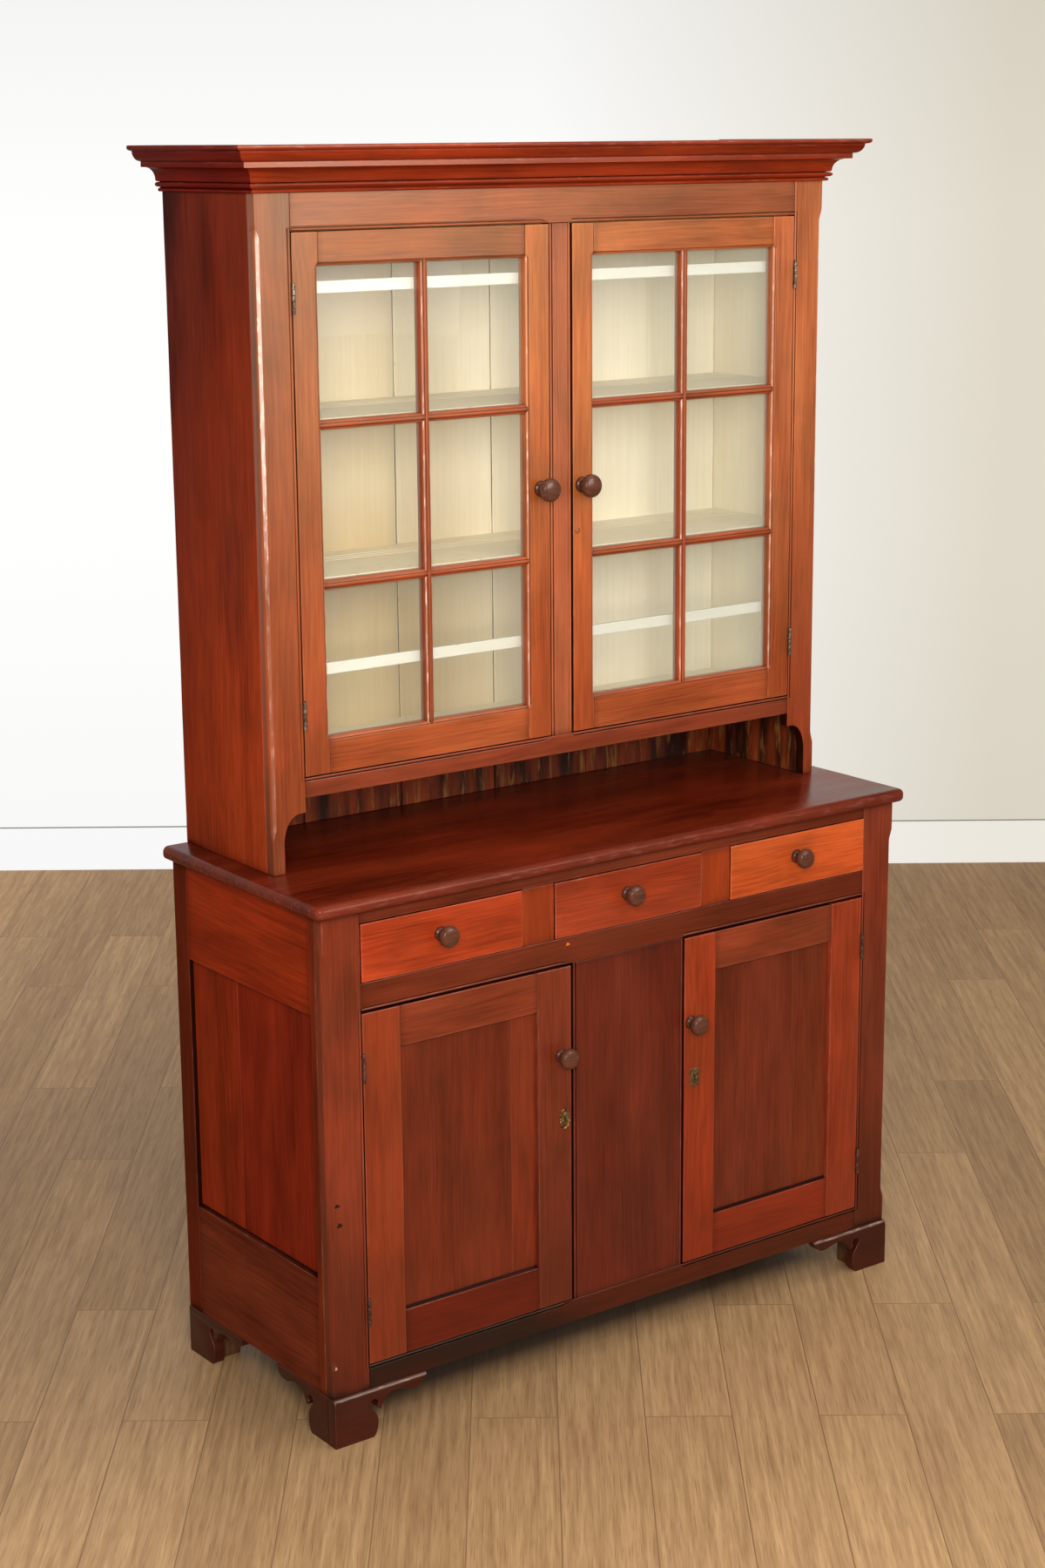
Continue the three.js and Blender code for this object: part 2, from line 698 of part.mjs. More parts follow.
function makeFeet() {
  for (const [side, word] of [
    [-1, "left"],
    [1, "right"],
  ]) {
    const corner = side * (baseWidth / 2 + footSideProud);
    const inner = corner - side * bracketThickness;
    const sideFrom = Math.min(corner, inner);
    const top = footHeight - seat;
    const mirror = new THREE.Matrix4().makeScale(-side, 1, 1);
    const across = frontBoard(bracketOutline(), -footProud, bracketThickness).applyMatrix4(mirror);
    const frontBracket = cut(
      across.translate(corner, 0, 0),
      ledgeCutter([corner + side * overrun, corner - side * (bracketLength + overrun)], -footProud, top),
    );
    const frontSide = sideBoard(bracketOutline(), sideFrom, bracketThickness).translate(0, -footProud, 0);
    const ledge = ledgeCutter([sideFrom - overrun, sideFrom + bracketThickness + overrun], -footProud, top);
    const innerX = inner - side * glueBlock;
    const frontY = bracketThickness - footProud;
    const frontBlock = block([inner, innerX], [frontY - overrun, frontY + glueBlock], [0, top]);
    piece(`front_foot_${word}`, join(frontBracket, cut(frontSide, ledge), frontBlock), cherry, baseCase);

    const backward = new THREE.Matrix4().makeScale(1, -1, 1);
    const rearSide = sideBoard(bracketOutline(), sideFrom, bracketThickness).applyMatrix4(backward);
    const rearY = depth - bracketThickness;
    const rearAcross = frontBoard(rearOutline(), rearY, bracketThickness).applyMatrix4(mirror);
    const rearBlock = block([inner, innerX], [rearY - glueBlock, rearY + overrun], [0, top]);
    const rearFoot = join(rearSide.translate(0, depth, 0), rearAcross.translate(corner, 0, 0), rearBlock);
    piece(`rear_foot_${word}`, rearFoot, cherry, baseCase);
  }
}

// Drawers, each in a group whose origin is the bottom middle of its opening, on the face of the base

function makeDrawers() {
  const half = drawerOpeningWidth / 2;
  const front = [-drawerProud, frameThickness - drawerProud];
  const boxHalf = half - drawerBoxPlay;
  const boxBack = front[1] + drawerBoxLength;
  const bottom = drawerGap;
  const face = block([drawerGap - half, half - drawerGap], front, [bottom, drawerOpeningHeight - drawerGap]);
  const sideSpan = [bottom, bottom + drawerSideHeight];
  const walls = [-1, 1].map((side) => {
    const x = [side * boxHalf, side * (boxHalf - drawerSideThickness)];
    return block(x, [front[1] - overrun, boxBack], sideSpan);
  });
  const inside = [-boxHalf + drawerSideThickness / 2, boxHalf - drawerSideThickness / 2];
  const floorLow = bottom + drawerBottomRaise;
  const backSpan = [floorLow, floorLow + drawerBackHeight];
  const back = block(inside, [boxBack - drawerSideThickness, boxBack], backSpan);
  const floorSpan = [floorLow, floorLow + drawerBottomThickness];
  const floor = block(inside, [front[1] - overrun, boxBack - drawerSideThickness / 2], floorSpan);
  const middle = drawerOpeningHeight / 2 + drawerKnobRise;
  const bore = spindleBore(-drawerKnobShift, middle, frameThickness).translate(0, front[0], 0);
  const drawer = cut(join(face, walls, back, floor), bore);
  [-1, 0, 1].forEach((n, i) => {
    const word = ["left", "centre", "right"][i];
    const group = new THREE.Group();
    group.position.set(n * drawerPitch, 0, drawerOpeningBottom);
    baseCase.add(group);
    piece(`drawer_${word}`, drawer.clone(), lightCherry, group);
    const knob = turnedKnob(lowerKnobRadius, lowerKnobReach, frameThickness);
    piece(`drawer_knob_${word}`, knob, darkWood, group, [-drawerKnobShift, front[0], middle]);
  });
}

// Doors. Each group has its origin at the pin, level with the bottom of the door and the face of the frame.
// Distances along a door are counted from the pin; inward turns them into x.

function hang(doorName, hinges, side, doorGroup, caseGroup) {
  const bottom = doorGroup.position;
  for (const { end, pin } of hinges) {
    piece(`${doorName}_frame_leaf_${end}`, frameLeaf(-side), hingeMetal, caseGroup, pin);
    const local = [pin[0] - bottom.x, pin[1] - bottom.y, pin[2] - bottom.z];
    piece(`${doorName}_door_leaf_${end}`, doorLeaf(-side), hingeMetal, doorGroup, local);
  }
}

function doorMortises(hinges, side, origin) {
  return hinges.map(({ pin }) =>
    leafMortise(-side).translate(pin[0] - origin.x, pin[1] - origin.y, pin[2] - origin.z),
  );
}

function keyhole(x, z) {
  const outline = new THREE.Shape();
  const half = keyholeSlotWidth / 2;
  const meet = -Math.sqrt(keyholeRadius ** 2 - half ** 2);
  const start = Math.atan2(meet, half);
  outline.moveTo(x + half, z - keyholeSlot);
  outline.lineTo(x + half, z + meet);
  outline.absarc(x, z, keyholeRadius, start, Math.PI - start, false);
  outline.lineTo(x - half, z - keyholeSlot);
  return frontBoard(outline, -overrun, frameThickness + 2 * overrun);
}

function makeLowerDoors() {
  for (const [side, word, knobInset, keyInset, keyDrop] of [
    [-1, "left", lowerLeftKnobInset, leftKeyholeInset, leftKeyholeDrop],
    [1, "right", lowerRightKnobInset, rightKeyholeInset, rightKeyholeDrop],
  ]) {
    const inward = -side;
    const name = `lower_${word}`;
    const width = lowerOpeningWidth - 2 * doorGap;
    const doorHeight = lowerOpeningHeight - 2 * doorGap;
    const hinges = lowerHinges(side);
    const group = new THREE.Group();
    group.position.set(hinges[0].pin[0], 0, baseOpeningBottom + doorGap);
    baseCase.add(group);
    const along = (distance) => inward * (doorGap / 2 + distance);
    const opening = [along(lowerDoorStile), along(width - lowerDoorStile)].sort((a, b) => a - b);
    const rails = [lowerDoorBottomRail, doorHeight - lowerDoorTopRail];
    const outline = rectangle([along(0), along(width)], [0, doorHeight]);
    outline.holes.push(rectangle(opening, rails));
    const [x, z] = panelSpans(opening, rails, grooveDepth);
    const groove = block(x, [panelRecess - seat, panelRecess + panelThickness + seat], z);
    const [px, pz] = panelSpans(opening, rails, grooveDepth - seat);
    const panel = block(px, [panelRecess, panelRecess + panelThickness], pz);
    const knobX = along(width - knobInset);
    const frame = cut(
      frontBoard(outline, 0, frameThickness),
      groove,
      spindleBore(knobX, lowerKnobHeight, frameThickness),
      keyhole(along(width - keyInset), lowerKnobHeight - keyDrop),
      doorMortises(hinges, side, group.position),
    );
    piece(`${name}_door_frame`, frame, lightCherry, group);
    piece(`${name}_door_panel`, panel, cherry, group);
    const knob = latchKnob(lowerKnobRadius, lowerKnobReach);
    piece(`${name}_door_knob`, knob, darkWood, group, [knobX, 0, lowerKnobHeight]);
    hang(`${name}_hinge`, hinges, side, group, baseCase);
  }
}

// The opening of one pane: a moulded edge that narrows from the front, then straight to the glass.
function paneCutter(xLow, zLow) {
  const ring = (y, grow) => [
    new THREE.Vector3(xLow - grow, y, zLow - grow),
    new THREE.Vector3(xLow + paneWidth + grow, y, zLow - grow),
    new THREE.Vector3(xLow + paneWidth + grow, y, zLow + paneHeight + grow),
    new THREE.Vector3(xLow - grow, y, zLow + paneHeight + grow),
  ];
  const steps = 3;
  const rings = [ring(-overrun, stickingReach)];
  for (let i = 0; i <= steps; i += 1) {
    const turn = (i / steps) * (Math.PI / 2);
    rings.push(ring(stickingDepth * Math.sin(turn), stickingReach * Math.cos(turn)));
  }
  rings.push(ring(frameThickness + overrun, 0));
  const square = [
    new THREE.Vector2(0, 0),
    new THREE.Vector2(1, 0),
    new THREE.Vector2(1, 1),
    new THREE.Vector2(0, 1),
  ];
  return loft(rings, square);
}

function makeUpperDoors() {
  for (const [side, word] of [
    [-1, "left"],
    [1, "right"],
  ]) {
    const inward = -side;
    const name = `upper_${word}`;
    const hinges = upperHinges(side);
    const group = new THREE.Group();
    group.position.set(hinges[0].pin[0], 0, upperOpeningBottom + doorGap);
    upperCase.add(group);
    const along = (distance) => inward * (doorGap / 2 + distance);
    const glazedX = [along(sashStile), along(sashWidth - sashStile)].sort((a, b) => a - b);
    const glazedZ = [sashBottomRail, sashHeight - sashTopRail];
    const panes = [];
    for (let column = 0; column < paneColumns; column += 1) {
      for (let row = 0; row < paneRows; row += 1) {
        const xLow = glazedX[0] + column * (paneWidth + muntinWidth);
        panes.push(paneCutter(xLow, glazedZ[0] + row * (paneHeight + muntinWidth)));
      }
    }
    const knobX = along(sashWidth - upperKnobInset);
    const [x, z] = panelSpans(glazedX, glazedZ, glassRebate);
    const [gx, gz] = panelSpans(glazedX, glazedZ, glassRebate - seat);
    const sash = cut(
      block([along(0), along(sashWidth)], [0, frameThickness], [0, sashHeight]),
      panes,
      block(x, [glassSetback, frameThickness + overrun], z),
      spindleBore(knobX, upperKnobHeight, frameThickness),
      doorMortises(hinges, side, group.position),
    );
    const pane = block(gx, [glassSetback + seat, glassSetback + seat + glassThickness], gz);
    piece(`${name}_sash`, sash, lightCherry, group);
    piece(`${name}_glass`, pane, glass, group);
    const knob = latchKnob(upperKnobRadius, upperKnobReach);
    piece(`${name}_door_knob`, knob, darkWood, group, [knobX, 0, upperKnobHeight]);
    hang(`${name}_hinge`, hinges, side, group, upperCase);
  }
}

// Upper case

function makeUpperFaceFrame() {
  const half = upperWidth / 2;
  const edge = half - upperStile;
  const leg = half - legWidth;
  const shoulder = openShelfHeight - archDrop;
  const stepX = edge + archStep;
  const springing = shoulder - archRise;
  const outline = new THREE.Shape();
  outline.moveTo(-half, seat);
  outline.lineTo(-leg, seat);
  outline.lineTo(-leg, springing);
  outline.bezierCurveTo(-leg, (springing + shoulder) / 2, -(leg + stepX) / 2, shoulder, -stepX, shoulder);
  outline.lineTo(-edge, shoulder);
  outline.lineTo(-edge, openShelfHeight);
  outline.lineTo(edge, openShelfHeight);
  outline.lineTo(edge, shoulder);
  outline.lineTo(stepX, shoulder);
  outline.bezierCurveTo((leg + stepX) / 2, shoulder, leg, (springing + shoulder) / 2, leg, springing);
  outline.lineTo(leg, seat);
  outline.lineTo(half, seat);
  outline.lineTo(half, carcassTop);
  outline.lineTo(-half, carcassTop);
  const upright = [upperOpeningBottom, upperOpeningTop];
  const chamferTop = upperHeight - corniceHeight - upperChamferStop;
  const cutters = [];
  for (const side of [-1, 1]) {
    const span = [side * (centreStile / 2), side * edge].sort((a, b) => a - b);
    cutters.push(block(span, throughFrame, upright));
    cutters.push(quirk(span, upright, ["left", "right", "bottom", "top"]));
    cutters.push(chamferCutter(side * half, -side, upperChamferStart, chamferTop));
    cutters.push(...upperHinges(side).map(({ pin }) => leafMortise(side).translate(...pin)));
  }
  piece("upper_face_frame", cut(frontBoard(outline, 0, frameThickness), cutters), cherry, upperCase);
}

// A shelf in side view, with grooves near its back that hold plates on edge.
function grooveShelf(top) {
  const back = upperBackFace - seat;
  const under = top - shelfThickness;
  const points = [new THREE.Vector2(shelfSetback, under), new THREE.Vector2(back, under)];
  points.push(new THREE.Vector2(back, top));
  for (let n = 0; n < plateGrooveCount; n += 1) {
    const middle = back - plateGrooveFirst - n * plateGroovePitch;
    points.push(new THREE.Vector2(middle + plateGrooveWidth / 2, top));
    points.push(new THREE.Vector2(middle, top - plateGrooveDepth));
    points.push(new THREE.Vector2(middle - plateGrooveWidth / 2, top));
  }
  points.push(new THREE.Vector2(shelfSetback, top));
  const half = upperInside - seat;
  return sideBoard(new THREE.Shape(points), -half, 2 * half);
}

function makeUpperCarcass() {
  const half = upperWidth / 2;
  const inside = [seat - upperInside, upperInside - seat];
  const behindFrame = frameThickness + seat;
  for (const [side, word] of [
    [-1, "left"],
    [1, "right"],
  ]) {
    const board = block([side * half, side * upperInside], [behindFrame, upperDepth], [seat, carcassTop]);
    piece(`upper_side_${word}`, board, cherry, upperCase);
  }
  const floorTop = upperOpeningBottom + upperFloorRaise;
  const floor = block(inside, [behindFrame, upperBackFace - seat], [floorTop - shelfThickness, floorTop]);
  piece("upper_bottom_board", floor, creamPaint, upperCase);
  const lid = block([-half, half], [0, upperDepth], [carcassTop + seat, upperHeight - topBoardSink]);
  piece("upper_top_board", lid, backWood, upperCase);

  const sashBottom = upperOpeningBottom + doorGap + sashBottomRail;
  const muntinTop = (row) => sashBottom + row * (paneHeight + muntinWidth);
  piece("lower_shelf", grooveShelf(muntinTop(1)), creamPaint, upperCase);
  piece("upper_shelf", grooveShelf(muntinTop(2)), creamPaint, upperCase);
  for (const [word, middle] of [
    ["lower", floorTop + lowerPlateBarRise],
    ["upper", muntinTop(2) + upperPlateBarRise],
  ]) {
    const tall = [middle - plateBarHeight / 2, middle + plateBarHeight / 2];
    const bar = block(inside, [plateBarSetback, plateBarSetback + plateBarThickness], tall);
    piece(`${word}_plate_bar`, bar, creamPaint, upperCase);
  }

  // Seams as they lie across the back, as shares of half the inside width
  const seamShares = [-0.64, -0.28, 0.084, 0.457];
  const seams = seamShares.map((share) => share * upperInside);
  const boards = backBoards(upperInside - seat, upperBackFace, upperDepth, seams, [seat, carcassTop]);
  piece("upper_back_boards", boards, creamPaint, upperCase);
}

// The cornice profile from the bottom up and back to the case: how far it reaches out of the case, and its
// height, as shares of the reach and the height of the cornice.
function corniceProfile() {
  const points = [];
  const add = (reachShare, heightShare) => {
    points.push(new THREE.Vector2(seat + (corniceReach - seat) * reachShare, corniceHeight * heightShare));
  };
  const arc = (middle, radii, from, to, steps) => {
    for (let i = 0; i <= steps; i += 1) {
      const turn = (from + ((to - from) * i) / steps) * Math.PI;
      add(middle[0] + radii[0] * Math.cos(turn), middle[1] + radii[1] * Math.sin(turn));
    }
  };
  add(0, 0);
  arc([0.05, 0.045], [0.07, 0.045], -0.5, 0.5, 4); // small bead
  arc([0.1, 0.16], [0.1, 0.055], -0.5, 0.5, 4); // second bead
  add(0.18, 0.23);
  arc([0.38, 0.24], [0.2, 0.27], 1, 0.5, 5); // cove
  add(0.6, 0.52);
  add(0.6, 0.645);
  add(0.66, 0.66);
  arc([0.66, 0.89], [0.24, 0.23], -0.5, 0, 5); // ovolo
  add(0.95, 0.895);
  arc([0.95, 0.95], [0.05, 0.05], -0.4, 0.5, 4); // top bead
  add(0, 1);
  return points;
}

function makeCornice() {
  const profile = corniceProfile();
  const half = upperWidth / 2;
  const low = upperHeight - corniceHeight;
  const station = (side, atBack) =>
    profile.map((p) => new THREE.Vector3(side * (half + p.x), atBack ? upperDepth : -p.x, low + p.y));
  const rings = [station(-1, true), station(-1, false), station(1, false), station(1, true)];
  piece("cornice", loft(rings, profile), cherry, upperCase);
}

makeCounter();
makeBaseFaceFrame();
makeSides();
makeBaseInside();
makeRunnerFrame();
makeFeet();
makeDrawers();
makeLowerDoors();
makeUpperFaceFrame();
makeUpperCarcass();
makeCornice();
makeUpperDoors();

export default cupboard;
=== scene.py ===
"""A step back cupboard in stained cherry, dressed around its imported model.

Lengths are metres unless a name ends in _PX. X runs across the front, Y to the back and Z up.
"""

from itertools import product

import bpy
import numpy as np
from mathutils import Matrix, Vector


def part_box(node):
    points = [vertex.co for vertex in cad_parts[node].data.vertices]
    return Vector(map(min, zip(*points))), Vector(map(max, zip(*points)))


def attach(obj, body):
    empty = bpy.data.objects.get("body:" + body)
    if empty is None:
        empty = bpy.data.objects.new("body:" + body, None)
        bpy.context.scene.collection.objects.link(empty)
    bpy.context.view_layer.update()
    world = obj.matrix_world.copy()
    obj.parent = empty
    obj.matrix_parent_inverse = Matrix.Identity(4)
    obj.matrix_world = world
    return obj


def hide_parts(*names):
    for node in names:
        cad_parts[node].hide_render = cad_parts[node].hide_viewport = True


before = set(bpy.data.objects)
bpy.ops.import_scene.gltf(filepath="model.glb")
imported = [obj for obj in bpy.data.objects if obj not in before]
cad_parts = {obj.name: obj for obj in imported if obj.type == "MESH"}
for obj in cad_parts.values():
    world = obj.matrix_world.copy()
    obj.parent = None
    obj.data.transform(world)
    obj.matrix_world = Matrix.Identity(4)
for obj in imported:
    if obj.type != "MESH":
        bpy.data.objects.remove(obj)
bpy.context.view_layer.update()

MM = 0.001
SEED = 1840
SIDES = (("left", -1), ("right", 1))
DRAWERS = ("left", "centre", "right")
rng = np.random.default_rng(SEED)


def corners(box):
    """The low and the high corner of a box, as arrays."""
    return [np.array(p) for p in box]


def spans(node):
    """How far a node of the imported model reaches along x, y and z."""
    return list(zip(*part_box(node)))


# The case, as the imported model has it
BASE_LOW, BASE_HIGH = corners(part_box("base_face_frame"))
UPPER_LOW, UPPER_HIGH = corners(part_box("upper_face_frame"))
COUNTER_LOW, COUNTER_HIGH = corners(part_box("counter_top"))
CORNICE_FOOT = spans("cornice")[2][0]
BASE_FRONT = BASE_LOW[1]
UPPER_FRONT = UPPER_LOW[1]
BACK = COUNTER_HIGH[1]
FRAME_THICK = BASE_HIGH[1] - BASE_LOW[1]

# Face frame of the base
BASE_STILE = 73 * MM
DIVIDER = 67 * MM
DRAWER_LOW, DRAWER_HIGH = corners(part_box("drawer_centre"))
DRAWER_GAP = 1.2 * MM
DOOR_GAP = 1.5 * MM
DRAWER_BOTTOM = DRAWER_LOW[2] - DRAWER_GAP
DRAWER_TOP = DRAWER_BOTTOM + 102 * MM
DRAWER_PROUD = 2 * MM
DRAWER_SPINDLE = 21.5 * MM
DRAWER_SIDE = 12 * MM
DRAWER_WALL = 88 * MM
DRAWER_HALF = (DRAWER_HIGH[0] - DRAWER_LOW[0]) / 2 + DRAWER_GAP

# Face frame of the upper case
UPPER_STILE = 66 * MM
CENTRE_STILE = 45 * MM
LEG = 23 * MM
ARCH_DROP = 24 * MM
ARCH_STEP = 9 * MM
ARCH_RISE = 52 * MM
UPPER_BOTTOM_RAIL = 34.5 * MM
SIDE_THICK = 22 * MM

# Doors
LOWER_STILE = 75 * MM
LOWER_TOP_RAIL = 71 * MM
LOWER_BOTTOM_RAIL = 79 * MM
SEAM_SHARES = {"left": 0.8, "right": 0.68, "side": 0.62}
PANEL_TONGUE = 7.7 * MM
SASH_STILE = 49 * MM
SASH_TOP_RAIL = 55 * MM
SASH_BOTTOM_RAIL = 61.5 * MM
MUNTIN = 16 * MM
PANE_COLUMNS = 2
PANE_ROWS = 3
PANE_LAP = 5 * MM
PANE_THICK = 2.4 * MM
SASH_FADE = (1200 * MM, 1700 * MM)

# Edges and joints
EASED = 1.3 * MM
BEAD = 5 * MM
QUIRK = 1.3 * MM
STICKING = 6 * MM
CORNER_STEPS = 11
BACK_STEPS = 4
CHAMFER = 7 * MM
EDGE_WEAR = 0.3
# Painted shade on the flanks and ends of boards that face a narrow gap
GAP_SHADE = 2.4
# How pale the upper chamfers are: rubbed wear and a painted highlight
CHAMFER_WEAR_AND_HIGHLIGHT = 2.1
CHAMFER_STOP = 26 * MM
BASE_CHAMFER_ENDS = (44 * MM, 50 * MM)
UPPER_CHAMFER_ENDS = (57 * MM, 47 * MM)
STATION_STEP = 45 * MM
HAIRLINE = 0.25 * MM
SHRINKAGE = 2.8 * MM


def linear(code):
    """The linear colour of an sRGB hex code such as #7A2B17."""
    channels = np.array([int(code[i : i + 2], 16) for i in (1, 3, 5)]) / 255
    bright = ((channels + 0.055) / 1.055) ** 2.4
    return tuple(np.where(channels <= 0.04045, channels / 12.92, bright)) + (1.0,)


# Stains, one for each run of boards that took the colour alike
STAINS = dict(
    upper_frame="#834324", centre_stile="#974C2E", upper_right_stile="#A55831", frieze="#8E4827",
    sash_hinge_stile="#874A27", sash_right_stile="#A95A34", sash_free_stile="#A3572B",
    left_sash_top_rail="#8B4824", right_sash_top_rail="#A85A2F", upper_frame_low="#813719",
    upper_right_low="#85361A", upper_low_rail="#79301A", sash_free_low="#8E3D1A", sash_hinge_low="#84391A",
    sash_right_low="#90401D", sash_low_rail="#954522", sash_bar="#90401F", upper_side="#963618",
    cornice="#86290F", cornice_side="#681102", counter="#601C0B", base_frame="#5F200D",
    base_stile="#732916", base_right_stile="#6F2A18", divider="#89300F", drawer_left="#A33716",
    drawer_centre="#8D3117", drawer_right="#B24B1F", left_hinge_stile="#7C2D14", left_free_stile="#722C19",
    left_top_rail="#79301A", left_low_rail="#611505", left_panel="#62200E", left_panel_edge="#6A230F",
    right_hinge_stile="#93371D", right_free_stile="#983518", right_top_rail="#79301A",
    right_low_rail="#7F2711", right_panel="#622212", right_panel_edge="#6D2915", centre_board="#571A0E",
    base_side="#852A11", base_side_low="#672A18", base_side_stile="#6A2612", side_panel="#782210",
    side_panel_edge="#822A12", foot="#3A0F08", knob="#4B2A21", raw="#B58A5C", glue_block="#583A26",
    plug="#7E2A12", chip="#C8642C", dent="#260D07", putty="#9C8474",
)


# Shapes. A shell is one closed skin: its points, its faces, and for each point where it lies in the grain
# of its board, how far it is pale, from wear and from painted highlights, how far it is dark, from dirt at the
# joints and from painted shade, and its stain.

CARRIED = (
    ("grain", "FLOAT_VECTOR", "vector"), ("worn", "FLOAT", "value"), ("dirt", "FLOAT", "value"),
    ("stain", "FLOAT_COLOR", "color"),
)
SHARP = np.radians(38)


def grid_faces(stations, around, wrap):
    """Quads between neighbouring rings of points; with wrap the last ring joins the first."""
    rows = np.arange(stations if wrap else stations - 1)[:, None]
    columns = np.arange(around)[None, :]
    beside = (columns + 1) % around
    here, there = rows * around, (rows + 1) % stations * around
    quads = [here + columns, here + beside, there + beside, there + columns]
    return np.stack(quads, axis=-1).reshape(-1, 4)


def signed_volume(points, quads):
    """Volume that the quads enclose, from the triple products of their two triangles."""
    a, b, c, d = (points[quads[:, i]] for i in range(4))
    first = np.einsum("ij,ij->i", a, np.cross(b, c)).sum()
    return first + np.einsum("ij,ij->i", a, np.cross(c, d)).sum()


def skin(rings, stain, grain=None, worn=0.0, dirt=0.0, wrap=False, skins=None):
    """A closed shell through rings of points; its first and last rings are closed by flat faces."""
    stations, around = rings.shape[:2]
    points = rings.reshape(-1, 3)
    quads = grid_faces(stations, around, wrap)
    centre = points.mean(axis=0)
    caps = [] if wrap else [list(range(around))[::-1], list(range(len(points) - around, len(points)))]
    volume = signed_volume(points - centre, quads)
    if not wrap:
        for ring, sign in ((rings[0], -1), (rings[-1], 1)):
            loop = ring - centre
            hub = loop.mean(axis=0)
            following = np.roll(loop, -1, axis=0)
            volume += sign * np.einsum("j,ij->i", hub, np.cross(loop, following)).sum()
    if volume < 0:
        quads = quads[:, ::-1]
        caps = [cap[::-1] for cap in caps]
    slots = np.zeros(len(quads), int) if skins is None else skins.reshape(-1)
    shape = (stations, around)
    return {
        "points": points,
        "faces": quads.tolist() + caps,
        "slots": slots.tolist() + [int(slots[0])] * len(caps),
        "grain": (rings + rng.uniform(0, 30, 3) if grain is None else grain).reshape(-1, 3),
        "worn": np.broadcast_to(worn, shape).reshape(-1),
        "dirt": np.broadcast_to(dirt, shape).reshape(-1),
        "stain": np.tile(linear(STAINS[stain]), (len(points), 1)),
    }


def placed(name, data, *columns):
    """An object in the scene, turned and moved by the columns of a matrix."""
    thing = bpy.data.objects.new(name, data)
    bpy.context.scene.collection.objects.link(thing)
    if columns:
        thing.matrix_world = Matrix(np.vstack([np.column_stack(columns), [0, 0, 0, 1]]).tolist())
    return thing


def make(name, shells, materials, body, slot, *nodes):
    """One object of several shells, riding on a body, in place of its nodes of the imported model."""
    counts = np.cumsum([0] + [len(s["points"]) for s in shells])
    faces = [[i + start for i in face] for s, start in zip(shells, counts) for face in s["faces"]]
    mesh = bpy.data.meshes.new(name)
    mesh.from_pydata(np.concatenate([s["points"] for s in shells]).tolist(), [], faces)
    for material in materials:
        mesh.materials.append(material)
    mesh.polygons.foreach_set("material_index", [i for s in shells for i in s["slots"]])
    mesh.polygons.foreach_set("use_smooth", [True] * len(mesh.polygons))
    for key, kind, field in CARRIED:
        data = np.concatenate([s[key] for s in shells]).astype(np.float32).ravel()
        mesh.attributes.new(key, kind, "POINT").data.foreach_set(field, data)
    mesh.set_sharp_from_angle(angle=SHARP)
    mesh.update()
    piece = placed(name, mesh)
    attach(piece, body)
    if nodes:
        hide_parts(*nodes)


def rise(value, low, high):
    """0 at low, 1 at high and a straight ramp between them; low may be the greater of the two."""
    return np.clip((value - low) / (high - low), 0, 1)


def darkened(shell, amount):
    """A shell made darker, by one amount or by one that is worked out from its points: dirt in some places,
    painted shade in others.
    """
    shell["dirt"] = shell["dirt"] + (amount(*shell["points"].T) if callable(amount) else amount)
    return shell


def toned(shell, stain, low, high):
    """A shell whose stain turns into another one from a height down to a lower height."""
    share = rise(shell["points"][:, 2:], high, low)
    shell["stain"] = shell["stain"] * (1 - share) + np.array(linear(STAINS[stain])) * share
    return shell


def wander(positions, count, amount):
    """A slow curve for each of count lines, about 1, from three sines that start at random."""
    total = np.ones((len(positions), count))
    for wavelength in (0.31, 0.13, 0.05):
        start = rng.uniform(0, 2 * np.pi, count)
        total += amount / 3 * np.sin(2 * np.pi * positions[:, None] / wavelength + start)
    return total


def circle(turn, radius=1.0):
    """Points on a circle, at some angles."""
    return radius * np.stack([np.cos(turn), np.sin(turn)], axis=-1)


def eased(radius, count):
    """A quarter round as (along the face, into the wood), from the edge to the face."""
    turn = np.linspace(0, np.pi / 2, count)
    return radius * (1 - circle(turn))


def beaded():
    """A bead run on the edge, flush with the face, with a narrow quirk behind it; the quirk and the gap side
    are darkened as painted shade and dirt.
    """
    turn = np.linspace(np.pi, 0, CORNER_STEPS - 4)
    radius = BEAD / 2
    bead = radius + circle(turn, radius) * [1, -1]
    deepest = 1.1 * BEAD / 2 + QUIRK
    quirk = [[BEAD + 0.1 * QUIRK, deepest], [BEAD + 0.8 * QUIRK, deepest]]
    shoulder = [[BEAD + QUIRK, 0.25 * MM], [BEAD + 1.3 * QUIRK, 0]]
    worn = np.array([0, 0, 0.15, 0.3, 0.3, 0.15, 0, 0, 0, 0.1, 0])
    # The gap side and the quirk are darkened: painted shade and dirt
    dirt = np.array([0.8, 0.2, 0, 0, 0, 0.3, 1.2, 2.0, 2.0, 0.6, 0])
    return np.concatenate([bead, quirk, shoulder]), worn, dirt


